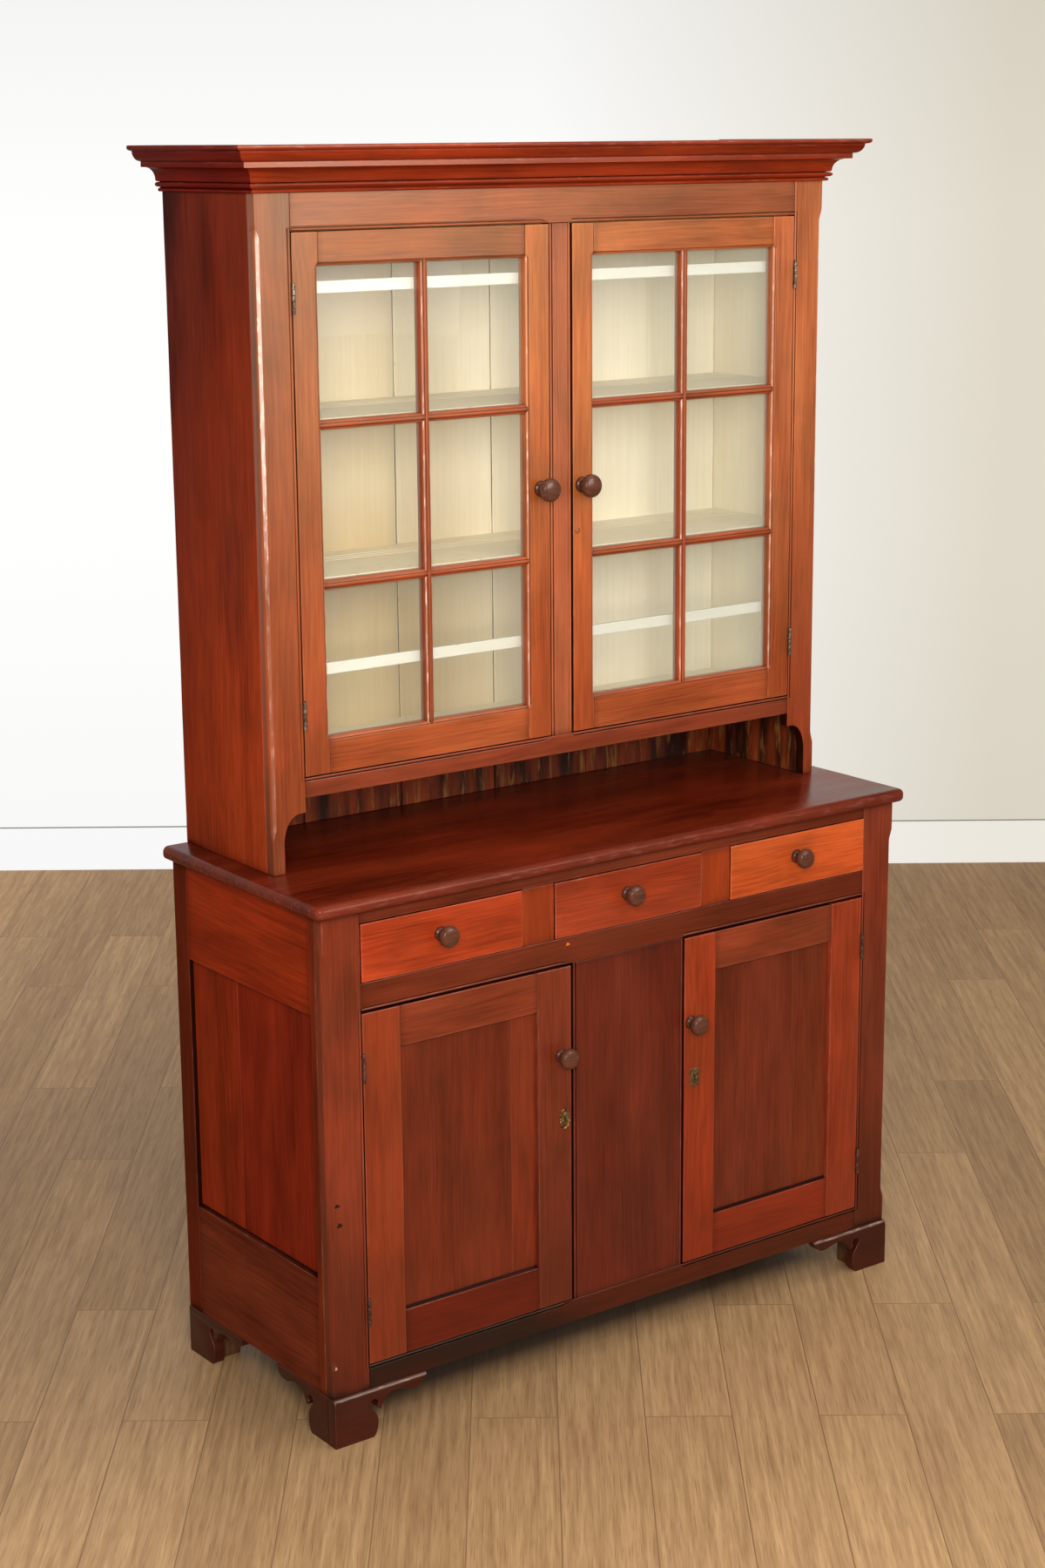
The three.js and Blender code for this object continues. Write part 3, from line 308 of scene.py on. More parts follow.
def ovolo(wear_and_highlight_amount=1.0):
    """The moulding round a pane: a fillet at the face, then a quarter round down to the glass. Its round
    carries pale lines as painted highlights, and its fillet and the glass edge carry painted shade and dirt.
    """
    width, depth, step = 5 * MM, 7 * MM, 1.1 * MM
    turn = np.linspace(0, np.pi / 2, CORNER_STEPS - 3)
    round_part = [0, step] + (1 - circle(turn)) * [width, depth - step]
    fillet = [[width + 0.3 * MM, step], [width + 0.6 * MM, 0.2 * MM], [width + 1.0 * MM, 0]]
    # Pale rows on the round are painted highlights; the dark at the fillet and by the glass is painted shade
    # and dirt
    worn = wear_and_highlight_amount * np.array([0, 0, 0.2, 0.7, 1.2, 0.9, 0.2, 0, 0, 0.5, 0.3])
    dirt = np.array([0.5, 0.4, 0.3, 0.1, 0, 0, 0.5, 2.0, 2.4, 0.5, 0])
    return np.concatenate([round_part, fillet]), worn, dirt


def chamfered(wear_and_highlight_amount):
    """A flat cut across the corner, made pale by so much: rubbed wear and a painted highlight."""
    shares = np.linspace(0, 1, CORNER_STEPS)
    rubbed_and_highlit = wear_and_highlight_amount * np.clip(4 * shares - 1, 0, 1)
    return CHAMFER * np.stack([shares, 1 - shares], axis=1), rubbed_and_highlit, np.zeros(CORNER_STEPS)


def always(t):
    return np.ones_like(t)


def between(low, high, ramp=0.6 * MM):
    """A weight that is 1 from low to high along a board and 0 outside, over a short ramp."""
    return lambda t: np.clip((t - low) / ramp + 1, 0, 1) * np.clip((high - t) / ramp + 1, 0, 1)


def stopped(low, high):
    """The weight of a stopped chamfer: it swells in an S over each lamb's tongue."""

    def weight(t):
        share = np.clip(np.minimum(t - low, high - t) / CHAMFER_STOP, 0, 1)
        return share * share * (3 - 2 * share)

    return weight


def stop_marks(low, high):
    """Where a board needs stations to draw the two stops of a chamfer."""
    stops = np.linspace(0, CHAMFER_STOP, 5)
    return [*(low + stops), *(high - stops)]


def board(x, y, z, along, face, stain, radius=EASED, low=None, high=None, marks=(), limits=None, ends="joint",
          skins=(), gaps=()):
    """A board with eased edges. Its section is a rectangle with a small curve at each corner, drawn at
    stations along its length; near each end the section shrinks in a quarter round. low and high shape
    the two corners of the show face, each as (form, weight along the board). gaps names the edges that
    face a narrow gap, which are darkened as painted shade.
    """
    corner_a = np.array([min(x), min(y), min(z)])
    corner_b = np.array([max(x), max(y), max(z)])
    run, deep = "xyz".index(along), "xyz".index(face[1])
    across = 3 - run - deep
    start, stop = corner_a[run], corner_b[run]
    thick = corner_b[deep] - corner_a[deep]

    turn = np.radians([4, 35, 65, 90])
    at_end = radius * (np.cos(turn[0]) - np.cos(turn))
    shrink = radius * (1 - np.sin(turn))
    near = np.array([4, 12, 26]) * MM
    middle = np.arange(start + near[-1] + STATION_STEP / 2, stop - near[-1] - STATION_STEP / 3, STATION_STEP)
    extra = [m + d for m in marks for d in (-0.6 * MM, 0, 0.6 * MM, 4 * MM)]
    inner = np.unique(np.concatenate([start + near, stop - near, middle, extra]))
    inner = inner[(inner > start + at_end[-1] + 0.3 * MM) & (inner < stop - at_end[-1] - 0.3 * MM)]
    t = np.concatenate([start + at_end, inner, (stop - at_end)[::-1]])
    inset = np.concatenate([shrink, np.zeros(len(inner)), shrink[::-1]])

    u_low = np.full(len(t), corner_a[across])
    u_high = np.full(len(t), corner_b[across])
    if limits:
        u_low, u_high = limits(t, u_low, u_high)
    rough = wander(t, 4, 0.6)

    def corner(shape, count, k):
        plain = eased(radius, count)[None] * rough[:, k, None, None]
        if shape is None:
            return plain
        (curve, _, _), weight = shape
        share = weight(t)[:, None, None]
        return plain * (1 - share) + curve[None] * share

    c0, c1 = corner(low, CORNER_STEPS, 0), corner(high, CORNER_STEPS, 1)
    c2, c3 = corner(None, BACK_STEPS, 2), corner(None, BACK_STEPS, 3)
    front_steps = 5 if (corner_b - corner_a)[across] > 30 * MM else 3
    share = np.linspace(0, 1, front_steps)[None]
    inside = 1.5 * MM
    f_low = u_low + c0[:, -1, 0] + inside
    f_high = u_high - c1[:, -1, 0] - inside
    front_u = f_low[:, None] + (f_high - f_low)[:, None] * share
    b_low = u_low + c3[:, -1, 0] + inside
    b_high = u_high - c2[:, -1, 0] - inside
    back_u = b_high[:, None] + (b_low - b_high)[:, None] * share
    u = np.concatenate([
        u_low[:, None] + c0[..., 0], front_u, u_high[:, None] - c1[:, ::-1, 0],
        u_high[:, None] - c2[..., 0], back_u, u_low[:, None] + c3[:, ::-1, 0],
    ], axis=1)
    v = np.concatenate([
        c0[..., 1], np.zeros_like(front_u), c1[:, ::-1, 1],
        thick - c2[..., 1], np.full_like(back_u, thick), thick - c3[:, ::-1, 1],
    ], axis=1)
    u_middle = ((u_low + u_high) / 2)[:, None]
    u = u_middle + (u - u_middle) * (1 - 2 * inset / (u_high - u_low))[:, None]
    v = thick / 2 + (v - thick / 2) * (1 - 2 * inset / thick)[:, None]

    rings = np.zeros(u.shape + (3,))
    rings[..., run] = t[:, None]
    rings[..., across] = u
    rings[..., deep] = corner_a[deep] + v if face[0] == "-" else corner_b[deep] - v
    pith = rng.uniform([-0.10, 0.035], [0.10, 0.12])
    grain = np.stack([
        np.broadcast_to((t + rng.uniform(0, 40))[:, None], u.shape),
        u - (corner_a[across] + corner_b[across]) / 2 + pith[0],
        v + pith[1],
    ], axis=-1)
    edge = np.zeros(u.shape[1])
    edge[:CORNER_STEPS] = 1
    edge[CORNER_STEPS + front_steps : 2 * CORNER_STEPS + front_steps] = 1
    from_end = np.minimum(t - start, stop - t)
    at_joint = np.clip(1 - from_end / (14 * MM), 0, 1)
    worn = EDGE_WEAR * np.broadcast_to(edge, u.shape) * (1 - at_joint[:, None] * (ends == "joint"))
    dirt = np.zeros(u.shape) + at_joint[:, None] * (ends == "joint")
    for shape, first, order in ((low, 0, 1), (high, CORNER_STEPS + front_steps, -1)):
        if shape is not None:
            (_, rubbed_and_highlit, profile_dirt_and_shade), weight = shape
            columns = slice(first, first + CORNER_STEPS)
            share = weight(t)[:, None]
            worn[:, columns] = worn[:, columns] * (1 - share) + share * rubbed_and_highlit[::order]
            dirt[:, columns] += share * profile_dirt_and_shade[::order]
    back_start = 2 * CORNER_STEPS + front_steps
    # Painted shade: the flanks and edges that face a gap, and the ends of a free board, are darkened
    if "low" in gaps:
        dirt[:, [0, 1]] += np.array([1, 0.5]) * GAP_SHADE
        dirt[:, -BACK_STEPS:] += GAP_SHADE
    if "high" in gaps:
        dirt[:, [back_start - 1, back_start - 2]] += np.array([1, 0.5]) * GAP_SHADE
        dirt[:, back_start : back_start + BACK_STEPS] += GAP_SHADE
    if gaps and ends == "free":
        dirt[[0, -1]] += GAP_SHADE
    if ends == "free":
        worn = np.maximum(worn, EDGE_WEAR * (from_end < 1.2 * radius)[:, None])
    slots = np.zeros((len(t) - 1, u.shape[1]), int)
    centre = (t[1:] + t[:-1]) / 2
    for side, bottom, top, slot in skins:
        rows = (centre > bottom) & (centre < top)
        columns = np.arange(u.shape[1]) >= back_start if side == "back" else np.ones(u.shape[1], bool)
        slots[np.ix_(rows, columns)] = slot
    return skin(rings, stain, grain, worn, dirt, skins=slots)


def standing(x, y, z, stain, **more):
    """A board that stands up, with its show face to the front."""
    return board(x, y, z, "z", "-y", stain, **more)


def lying(x, y, z, stain, **more):
    """A board that runs across, with its show face to the front."""
    return board(x, y, z, "x", "-y", stain, **more)


def moulding(profile, start, end, outward, stain, mitres=(0, 0), count=30, worn=0.0):
    """A closed profile of (reach, rise) carried from start to end. Where an end is mitred, each point of
    the profile runs on by its own reach.
    """
    start, end, outward = (np.array(p, float) for p in (start, end, outward))
    length = np.linalg.norm(end - start)
    direction = (end - start) / length
    reach, height = profile[:, :1], profile[:, 1:2]
    first = start - direction * mitres[0] * reach
    last = end + direction * mitres[1] * reach
    share = np.linspace(0, 1, count)[:, None, None]
    rings = first + (last - first) * share + outward * reach + np.array([0, 0, 1]) * height
    along = np.broadcast_to(share[..., 0] * length + rng.uniform(0, 40), (count, len(profile)))
    section = (np.broadcast_to(part, along.shape) for part in (reach.T + 0.05, height.T))
    grain = np.stack([along, *section], axis=-1)
    return skin(rings, stain, grain, np.broadcast_to(worn, along.shape))


def turned(profile, centre, stain, axis="y", segments=56, worn=0.0):
    """A profile of (radius, distance) turned about an axis through the centre."""
    turn = np.linspace(0, 2 * np.pi, segments, endpoint=False)
    radius, distance = profile[:, :1], profile[:, 1:2]
    one = radius * np.cos(turn)
    two = radius * np.sin(turn)
    far = distance + 0 * turn
    rings = np.stack([one, far, two] if axis == "y" else [one, two, far], axis=-1) + np.array(centre)
    grain = np.stack([far, one, two + 0.03], axis=-1) + np.array([rng.uniform(0, 40), 0, 0])
    return skin(rings, stain, grain, np.broadcast_to(np.reshape(worn, (-1, 1)), far.shape))


def bezier(points, count):
    """Points along a Bezier curve of any order, without its last one."""
    t = np.linspace(0, 1, count, endpoint=False)[:, None]
    curve = [np.array(p, float) for p in points]
    while len(curve) > 1:
        curve = [a + (b - a) * t for a, b in zip(curve, curve[1:])]
    return curve[0]


def fretwork(outline, place, stain, thick, radius=1.0 * MM, top_round=None):
    """A sawn outline of some thickness with eased arrises: the outline is drawn in at each face by a quarter
    round. place turns (along, depth, up) into x, y and z.
    """
    ahead = np.roll(outline, -1, axis=0) - np.roll(outline, 1, axis=0)
    inward = np.stack([-ahead[:, 1], ahead[:, 0]], axis=1)
    inward /= np.linalg.norm(inward, axis=1, keepdims=True)
    area = (outline[:, 0] * np.roll(outline[:, 1], -1) - np.roll(outline[:, 0], -1) * outline[:, 1]).sum()
    inward *= np.sign(area)
    turn = np.radians([0, 30, 60, 90])
    front_radius = np.full(len(outline), radius) if top_round is None else top_round
    front = np.stack([front_radius[None] * (1 - np.sin(turn))[:, None],
                      front_radius[None] * (1 - np.cos(turn))[:, None]], axis=-1)
    back = np.stack([radius * (1 - np.sin(turn)), thick - radius * (1 - np.cos(turn))], axis=1)[::-1]
    back = np.broadcast_to(back[:, None], (len(turn), len(outline), 2))
    plan = np.concatenate([front, back])
    flat = outline[None] + inward[None] * plan[..., :1]
    rings = place(flat[..., 0], plan[..., 1], flat[..., 1])
    grain = np.stack([flat[..., 0] + rng.uniform(0, 40), flat[..., 1] + 0.03, plan[..., 1] + 0.05], axis=-1)
    worn = EDGE_WEAR * np.array([0, 1, 1, 0.2, 0.2, 1, 1, 0])[:, None]
    if top_round is not None:
        worn = worn + np.array([0, 0.5, 0.6, 0.3, 0, 0, 0, 0])[:, None] * (top_round > radius)[None]
    return skin(rings, stain, grain, worn)


# Materials


def connect(tree, socket, value):
    """Links what another socket gives, or sets a value."""
    if isinstance(value, bpy.types.NodeSocket):
        tree.links.new(value, socket)
    else:
        socket.default_value = value


def add(tree, kind, links=(), **settings):
    """A node of a kind, with its settings, and its sockets linked or set."""
    node = tree.nodes.new(f"ShaderNode{kind}")
    for key, value in settings.items():
        setattr(node, key, value)
    for key, value in dict(links).items():
        connect(tree, node.inputs[key], value)
    return node


class Finish:
    """A material with its nodes. Each method adds nodes of one kind and gives back what comes out of them."""

    def __init__(self, name):
        self.material = bpy.data.materials.new(name)
        self.material.use_nodes = True
        self.tree = self.material.node_tree
        self.tree.nodes.clear()
        self.output = self.add("OutputMaterial")
        self.shader = self.add("BsdfPrincipled")
        self.tree.links.new(self.shader.outputs[0], self.output.inputs[0])

    def add(self, kind, links=(), **settings):
        return add(self.tree, kind, links, **settings)

    def surface(self, inputs):
        """The material itself, once inputs of its shader are linked or set."""
        for key, value in inputs.items():
            connect(self.tree, self.shader.inputs[key], value)
        return self.material

    def carried(self, name, output="Fac"):
        """What the mesh carries at each point under a name."""
        return self.add("Attribute", attribute_name=name).outputs[output]

    def place(self):
        return self.add("TexCoord").outputs["Object"]

    def axes(self, vector):
        return self.add("SeparateXYZ", {0: vector}).outputs

    def turned(self, vector, rotation, location=(0, 0, 0)):
        links = {"Vector": vector, "Location": location, "Rotation": rotation}
        return self.add("Mapping", links).outputs[0]

    def vector(self, operation, *terms):
        return self.add("VectorMath", dict(enumerate(terms)), operation=operation).outputs[0]

    def tinted(self, colour, factors):
        return self.vector("MULTIPLY", colour, factors)

    def maths(self, operation, *terms, **settings):
        return self.add("Math", dict(enumerate(terms)), operation=operation, **settings).outputs[0]

    def ramp(self, value, low, high, start=0.0, end=1.0):
        """Goes from start to end while a value goes from low to high."""
        return self.add("MapRange", {0: value, 1: low, 2: high, 3: start, 4: end}).outputs[0]

    def mix(self, share, first, second, **settings):
        """Two colours, each from a socket or a code such as #7A2B17, mixed by the share of the second."""
        first, second = (linear(c) if isinstance(c, str) else c for c in (first, second))
        return self.add("Mix", {0: share, 6: first, 7: second}, data_type="RGBA", **settings).outputs[2]

    def noise(self, vector, scale, detail, output="Fac", **links):
        """Noise of one scale, or of a scale for each axis."""
        if isinstance(scale, tuple):
            vector, scale = self.vector("MULTIPLY", vector, scale), 1.0
        links = {"Vector": vector, "Scale": scale, "Detail": detail, **links}
        return self.add("TexNoise", links).outputs[output]

    def bump(self, height, strength, distance):
        links = {"Height": height, "Strength": strength, "Distance": distance}
        return self.add("Bump", links).outputs[0]


RING_WIDTH = 4.2 * MM
LIGHT_SHARES = {"streaks": 0.16, "rings": 0.04, "fibre": 0.14, "pores": 0.26, "patches": 0.5}


def varnished_cherry(name, gloss=0.33, contrast=1.0, film=0.3, wear_and_highlight_amount=1.0, colour=None, upright=False):
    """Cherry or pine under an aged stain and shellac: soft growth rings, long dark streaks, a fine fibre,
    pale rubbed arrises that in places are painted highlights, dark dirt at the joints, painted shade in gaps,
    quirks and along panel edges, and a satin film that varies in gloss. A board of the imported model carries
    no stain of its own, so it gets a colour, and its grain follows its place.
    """
    nodes = Finish(name)
    if colour:
        grain = nodes.turned(nodes.place(), (0, np.pi / 2 * upright, 0), (3.1, 0.2, 0.06))
        stain = nodes.add("RGB").outputs[0]
        stain.default_value = linear(colour)
    else:
        grain = nodes.carried("grain", "Vector")
        stain = nodes.carried("stain", "Color")

    # The pith wanders a centimetre or two along the board, which draws the flames of a flat sawn face
    drift = nodes.noise(grain, (1.1, 3.0, 3.0), 3.0, "Color")
    drift = nodes.vector("SUBTRACT", drift, (0.5, 0.5, 0.5))
    drift = nodes.vector("MULTIPLY", drift, (0.0, 0.05, 0.05))
    moved = nodes.vector("ADD", grain, drift)
    section = nodes.vector("MULTIPLY", moved, (0.0, 1.0, 1.0))
    from_pith = nodes.add("VectorMath", {0: section}, operation="LENGTH").outputs["Value"]
    wave = nodes.maths("SINE", nodes.maths("MULTIPLY", from_pith, 2 * np.pi / RING_WIDTH))
    lights = {
        "streaks": nodes.noise(moved, (2.2, 75.0, 40.0), 5.0, Roughness=0.62),
        "rings": nodes.ramp(wave, -1.0, 1.0),
        "fibre": nodes.noise(moved, (22.0, 800.0, 500.0), 2.0),
        "pores": nodes.noise(moved, (9.0, 260.0, 170.0), 2.0),
        "patches": nodes.noise(grain, (2.6, 11.0, 8.0), 3.0),
    }
    total = 0.0
    for key, share in LIGHT_SHARES.items():
        total = nodes.maths("MULTIPLY_ADD", lights[key], share, total)
    middle = sum(LIGHT_SHARES.values()) / 2
    spread = 0.22 / contrast
    depth = nodes.ramp(total, middle - spread, middle + spread)
    dark = nodes.tinted(stain, (0.50, 0.40, 0.38))
    light = nodes.tinted(stain, (1.42, 1.52, 1.45))
    wood = nodes.mix(depth, dark, light)
    clouds = nodes.noise(grain, (4.0, 8.0, 7.0), 7.0, Roughness=0.62, Distortion=0.5)
    shaded = nodes.tinted(wood, (0.77, 0.86, 0.82))
    lit = nodes.tinted(wood, (1.20, 1.12, 1.10))
    wood = nodes.mix(nodes.ramp(clouds, 0.33, 0.67), shaded, lit)
    wood = nodes.mix(nodes.ramp(lights["fibre"], 0.66, 0.76, 0.0, 0.55), wood, dark)

    # Pale arrises: rubbed wear, and on the chamfers, the glazing bars and the counter's edge also painted
    # highlights, up to #E8C9BC
    rubbed_and_highlit = nodes.ramp(nodes.noise(grain, (38.0, 160.0, 160.0), 5.0), 0.5, 0.68, 0.4, 0.8)
    rubbed_and_highlit = nodes.maths("MULTIPLY", rubbed_and_highlit, nodes.carried("worn"))
    rubbed_and_highlit = nodes.maths("MULTIPLY", rubbed_and_highlit, wear_and_highlight_amount, use_clamp=True)
    wood = nodes.mix(rubbed_and_highlit, wood, nodes.mix(rubbed_and_highlit, light, "#E8C9BC"))
    # Darker with dirt at the joints and with painted shade in gaps, quirks and along panel edges, the deepest
    # going to near black #140604
    grime_and_shade = nodes.maths("MULTIPLY", nodes.carried("dirt"), lights["patches"])
    wood = nodes.mix(grime_and_shade, wood, nodes.tinted(wood, (0.34, 0.24, 0.22)))
    wood = nodes.mix(nodes.ramp(grime_and_shade, 0.85, 1.3, 0.0, 0.85), wood, "#140604")

    sheen = nodes.ramp(lights["patches"], 0.3, 0.7, gloss - 0.05, gloss + 0.09)
    relief = nodes.maths("MULTIPLY_ADD", lights["streaks"], 1.5, lights["fibre"])
    return nodes.surface({
        "Base Color": wood,
        "Roughness": nodes.maths("MULTIPLY_ADD", rubbed_and_highlit, 0.15, sheen),
        "Specular IOR Level": film,
        "Specular Tint": linear("#FFFADF"),
        "Normal": nodes.bump(relief, 0.35, 0.25 * MM),
    })


def old_paint(name, fresh, aged):
    """Cream oil paint brushed on by hand: faint brush lines, yellowed patches, and rubbed brown arrises."""
    nodes = Finish(name)
    grain = nodes.carried("grain", "Vector")
    brush = nodes.noise(grain, (5.0, 190.0, 120.0), 4.0)
    age = nodes.noise(grain, (3.0, 9.0, 6.0), 4.0)
    paint = nodes.mix(nodes.ramp(age, 0.35, 0.7), fresh, aged)
    paint = nodes.mix(nodes.ramp(brush, 0.35, 0.65, 0.0, 0.18), paint, "#DCCBA2")
    # Darker and yellower by dirt and by painted shade, as inside the case towards the lower left
    paint = nodes.mix(nodes.carried("dirt"), paint, nodes.tinted(paint, (0.58, 0.45, 0.25)))
    chips = nodes.ramp(nodes.noise(grain, 60.0, 5.0), 0.6, 0.66, 0.0, 0.7)
    chips = nodes.maths("MULTIPLY", chips, nodes.carried("worn"))
    paint = nodes.mix(chips, paint, "#6B4A2C")
    return nodes.surface({"Base Color": paint, "Roughness": 0.42, "Normal": nodes.bump(brush, 0.3, 0.3 * MM)})


def smoked_pine(name):
    """Bare pine darkened by age and spilled stain, with ochre wood left in ragged upright streaks."""
    nodes = Finish(name)
    grain = nodes.carried("grain", "Vector")
    streaks = nodes.noise(grain, (9.0, 70.0, 40.0), 6.0, Roughness=0.65, Distortion=0.3)
    soak = nodes.noise(grain, (5.0, 30.0, 20.0), 4.0)
    wood = nodes.mix(nodes.ramp(soak, 0.38, 0.62), "#2C130A", "#782F13")
    return nodes.surface({
        "Base Color": nodes.mix(nodes.ramp(streaks, 0.53, 0.66), wood, "#84572B"),
        "Roughness": 0.55,
        "Specular IOR Level": 0.12,
        "Normal": nodes.bump(streaks, 0.4, 0.4 * MM),
    })


def polished_walnut(name):
    """Turned walnut, nearly black brown, rubbed to a soft shine on the crown of each knob."""
    nodes = Finish(name)
    figure = nodes.noise(nodes.carried("grain", "Vector"), (260.0, 30.0, 260.0), 3.0)
    wood = nodes.mix(nodes.ramp(figure, 0.3, 0.7), "#33160E", "#582C1F")
    crown = nodes.maths("MULTIPLY", nodes.carried("worn"), 0.2)
    return nodes.surface({
        "Base Color": nodes.mix(crown, wood, "#7A5340"),
        "Roughness": 0.27,
        "Specular IOR Level": 0.16,
        "Coat Weight": 0.12,
        "Coat Roughness": 0.1,
        "Normal": nodes.bump(figure, 0.15, 0.2 * MM),
    })


GLASS_IOR = 1.45


def old_glass(name):
    """Drawn window glass: clear and slightly green, with a slow ripple in what it reflects."""
    nodes = Finish(name)
    edge = nodes.add("Fresnel", {"IOR": GLASS_IOR}).outputs[0]
    ripple = nodes.noise(nodes.place(), (9.0, 9.0, 3.0), 1.0)
    return nodes.surface({
        "Base Color": linear("#E9F0E6"),
        "Roughness": 0.03,
        "IOR": GLASS_IOR,
        "Alpha": nodes.maths("MULTIPLY_ADD", edge, 0.75, 0.03),
        "Normal": nodes.bump(ripple, 0.4, 1.5 * MM),
    })


def aged_metal(name, bright, dull, metallic, roughness):
    """Cast or pressed metal gone dull: dark tarnish over most of it, and rubbed bright in places."""
    nodes = Finish(name)
    patches = nodes.noise(nodes.place(), 190.0, 4.0)
    return nodes.surface({
        "Base Color": nodes.mix(nodes.ramp(patches, 0.42, 0.62), dull, bright),
        "Metallic": metallic,
        "Roughness": nodes.ramp(patches, 0.0, 1.0, roughness + 0.15, roughness - 0.1),
        "Normal": nodes.bump(patches, 0.3, 0.2 * MM),
    })


CHERRY = varnished_cherry("stained_cherry", contrast=1.2)
DRY_CHERRY = varnished_cherry("dry_stained_cherry", gloss=0.42, contrast=1.35, film=0.03)
POLISHED_CHERRY = varnished_cherry("polished_cornice_cherry", gloss=0.22, contrast=1.3, film=0.27)
COUNTER_CHERRY = varnished_cherry("polished_counter_cherry", gloss=0.24, contrast=1.8, film=0.12, wear_and_highlight_amount=0.5)
PAINT = old_paint("cream_oil_paint", "#FFF8DE", "#FBEFD0")
BAR_PAINT = old_paint("white_bar_paint", "#E6E4DC", "#DAD6CA")
SMOKED = smoked_pine("smoked_pine")
WALNUT = polished_walnut("polished_walnut")
GLASS = old_glass("drawn_glass")
HINGE_IRON = aged_metal("hinge_iron", "#857666", "#4E3E32", 0.8, 0.45)
STAINED_IRON = aged_metal("stained_hinge_iron", "#6A4234", "#3A2018", 0.5, 0.45)
BRASS = aged_metal("pressed_brass", "#9A7642", "#4C3520", 0.8, 0.42)
BROWN_BRASS = aged_metal("browned_brass", "#7E5A34", "#46301B", 0.6, 0.5)
SHADOW = aged_metal("keyhole_dark", "#0C0705", "#050302", 0.0, 0.8)
RAW_PINE = varnished_cherry("raw_pine", gloss=0.6, contrast=0.8, film=0.15)
INSIDE_PINE = varnished_cherry("inside_pine", gloss=0.62, contrast=0.8, colour="#A9794C")
BACK_PINE = varnished_cherry("upright_pine", gloss=0.62, contrast=0.8, colour="#A9794C", upright=True)


# Frames


def beads_over(*openings):
    """A bead along the door openings beside a rail."""
    return beaded(), lambda t: sum(between(low + DOOR_GAP, high - DOOR_GAP)(t) for low, high in openings)


def corner_stiles(x, y, z, inner, opening, chamfer, wear_and_highlight_amount, stains, arch=(), limits=(None, None)):
    """The stiles at the two corners of the case: a stopped chamfer outside, and a bead beside the door."""
    outside = (chamfered(wear_and_highlight_amount), stopped(*chamfer))
    beside = (opening[0] - BEAD, opening[1] + BEAD)
    inside = (beaded(), between(*beside))
    marks = [*beside, *arch, *stop_marks(*chamfer)]
    return [
        standing((x[0], inner[0]), y, z, stains[0], low=outside, high=inside, marks=marks, limits=limits[0],
                 gaps=["high"]),
        standing((inner[1], x[1]), y, z, stains[1], low=inside, high=outside, marks=marks, limits=limits[1],
                 gaps=["low"]),
    ]


def door_frame(x, y, z, inner, opening, stains, foot_gaps, upright=None, across=None, marks=()):
    """Two stiles, and two rails between them, with the shapes that their edges have round the opening."""
    rail = (inner[0] + HAIRLINE, inner[1] - HAIRLINE)
    return [
        standing((x[0], inner[0]), y, z, stains[0], high=upright, marks=marks, ends="free", gaps=["low"]),
        standing((inner[1], x[1]), y, z, stains[1], low=upright, marks=marks, ends="free", gaps=["high"]),
        lying(rail, y, (opening[1], z[1]), stains[2], low=across, gaps=["high"]),
        lying(rail, y, (z[0], opening[0]), stains[3], high=across, gaps=foot_gaps),
    ]


# Pieces of the base


def base_face_frame():
    (x0, x1), y, (z0, z1) = spans("base_face_frame")
    door_z = spans("lower_left_door_frame")[2]
    centre_x, _, centre_z = spans("base_centre_board")
    opening = (door_z[0] - DOOR_GAP, door_z[1] + DOOR_GAP)
    inner = (x0 + BASE_STILE, x1 - BASE_STILE)
    chamfer = (z0 + BASE_CHAMFER_ENDS[0], z1 - BASE_CHAMFER_ENDS[1])
    stains = ("base_stile", "base_right_stile")
    shells = corner_stiles((x0, x1), y, (z0, z1), inner, opening, chamfer, 0.1, stains)
    near_floor = lambda x, y, z: 1.5 * rise(z, 480 * MM, 100 * MM)
    for shell in shells:
        darkened(shell, near_floor)
    rail = (inner[0] + HAIRLINE, inner[1] - HAIRLINE)
    shells.append(lying(rail, y, (DRAWER_TOP, z1), "base_frame", gaps=["low"]))
    beads = beads_over((inner[0], centre_x[0]), (centre_x[1], inner[1]))
    shells.append(lying(rail, y, (opening[1], DRAWER_BOTTOM), "base_frame", low=beads, marks=centre_x,
                        gaps=["low", "high"]))
    bottom_rail = lying(rail, y, (z0, opening[0]), "base_frame", high=beads, marks=centre_x, gaps=["high"])
    shells.append(darkened(bottom_rail, lambda x, y, z: near_floor(x, y, z) * (1.1 - 0.9 * x)))
    for _, side in SIDES:
        x = sorted((side * DRAWER_HALF, side * (DRAWER_HALF + DIVIDER)))
        z = (DRAWER_BOTTOM + HAIRLINE, DRAWER_TOP - HAIRLINE)
        shells.append(standing(x, y, z, "divider", gaps=["low", "high"]))
    make("base_frame_boards", shells, [CHERRY], "case", "cherry", "base_face_frame")
    bead = (beaded(), always)
    shell = standing(centre_x, y, centre_z, "centre_board", low=bead, high=bead, gaps=["low", "high"])
    make("centre_board", [shell], [CHERRY], "case", "cherry", "base_centre_board")


def panel(node, axis, seam_share, face, stain, radius, marks, dirt):
    """The two boards of a panel, with their seam at a share of its width."""
    whole = spans(node)
    low, high = whole[axis]
    seam = low + seam_share * (high - low)
    halves = []
    for span, name in (((low, seam), stain), ((seam, high), f"{stain}_edge")):
        whole[axis] = span
        halves.append(darkened(board(*whole, "z", face, name, radius=radius, marks=marks), dirt))
    return halves


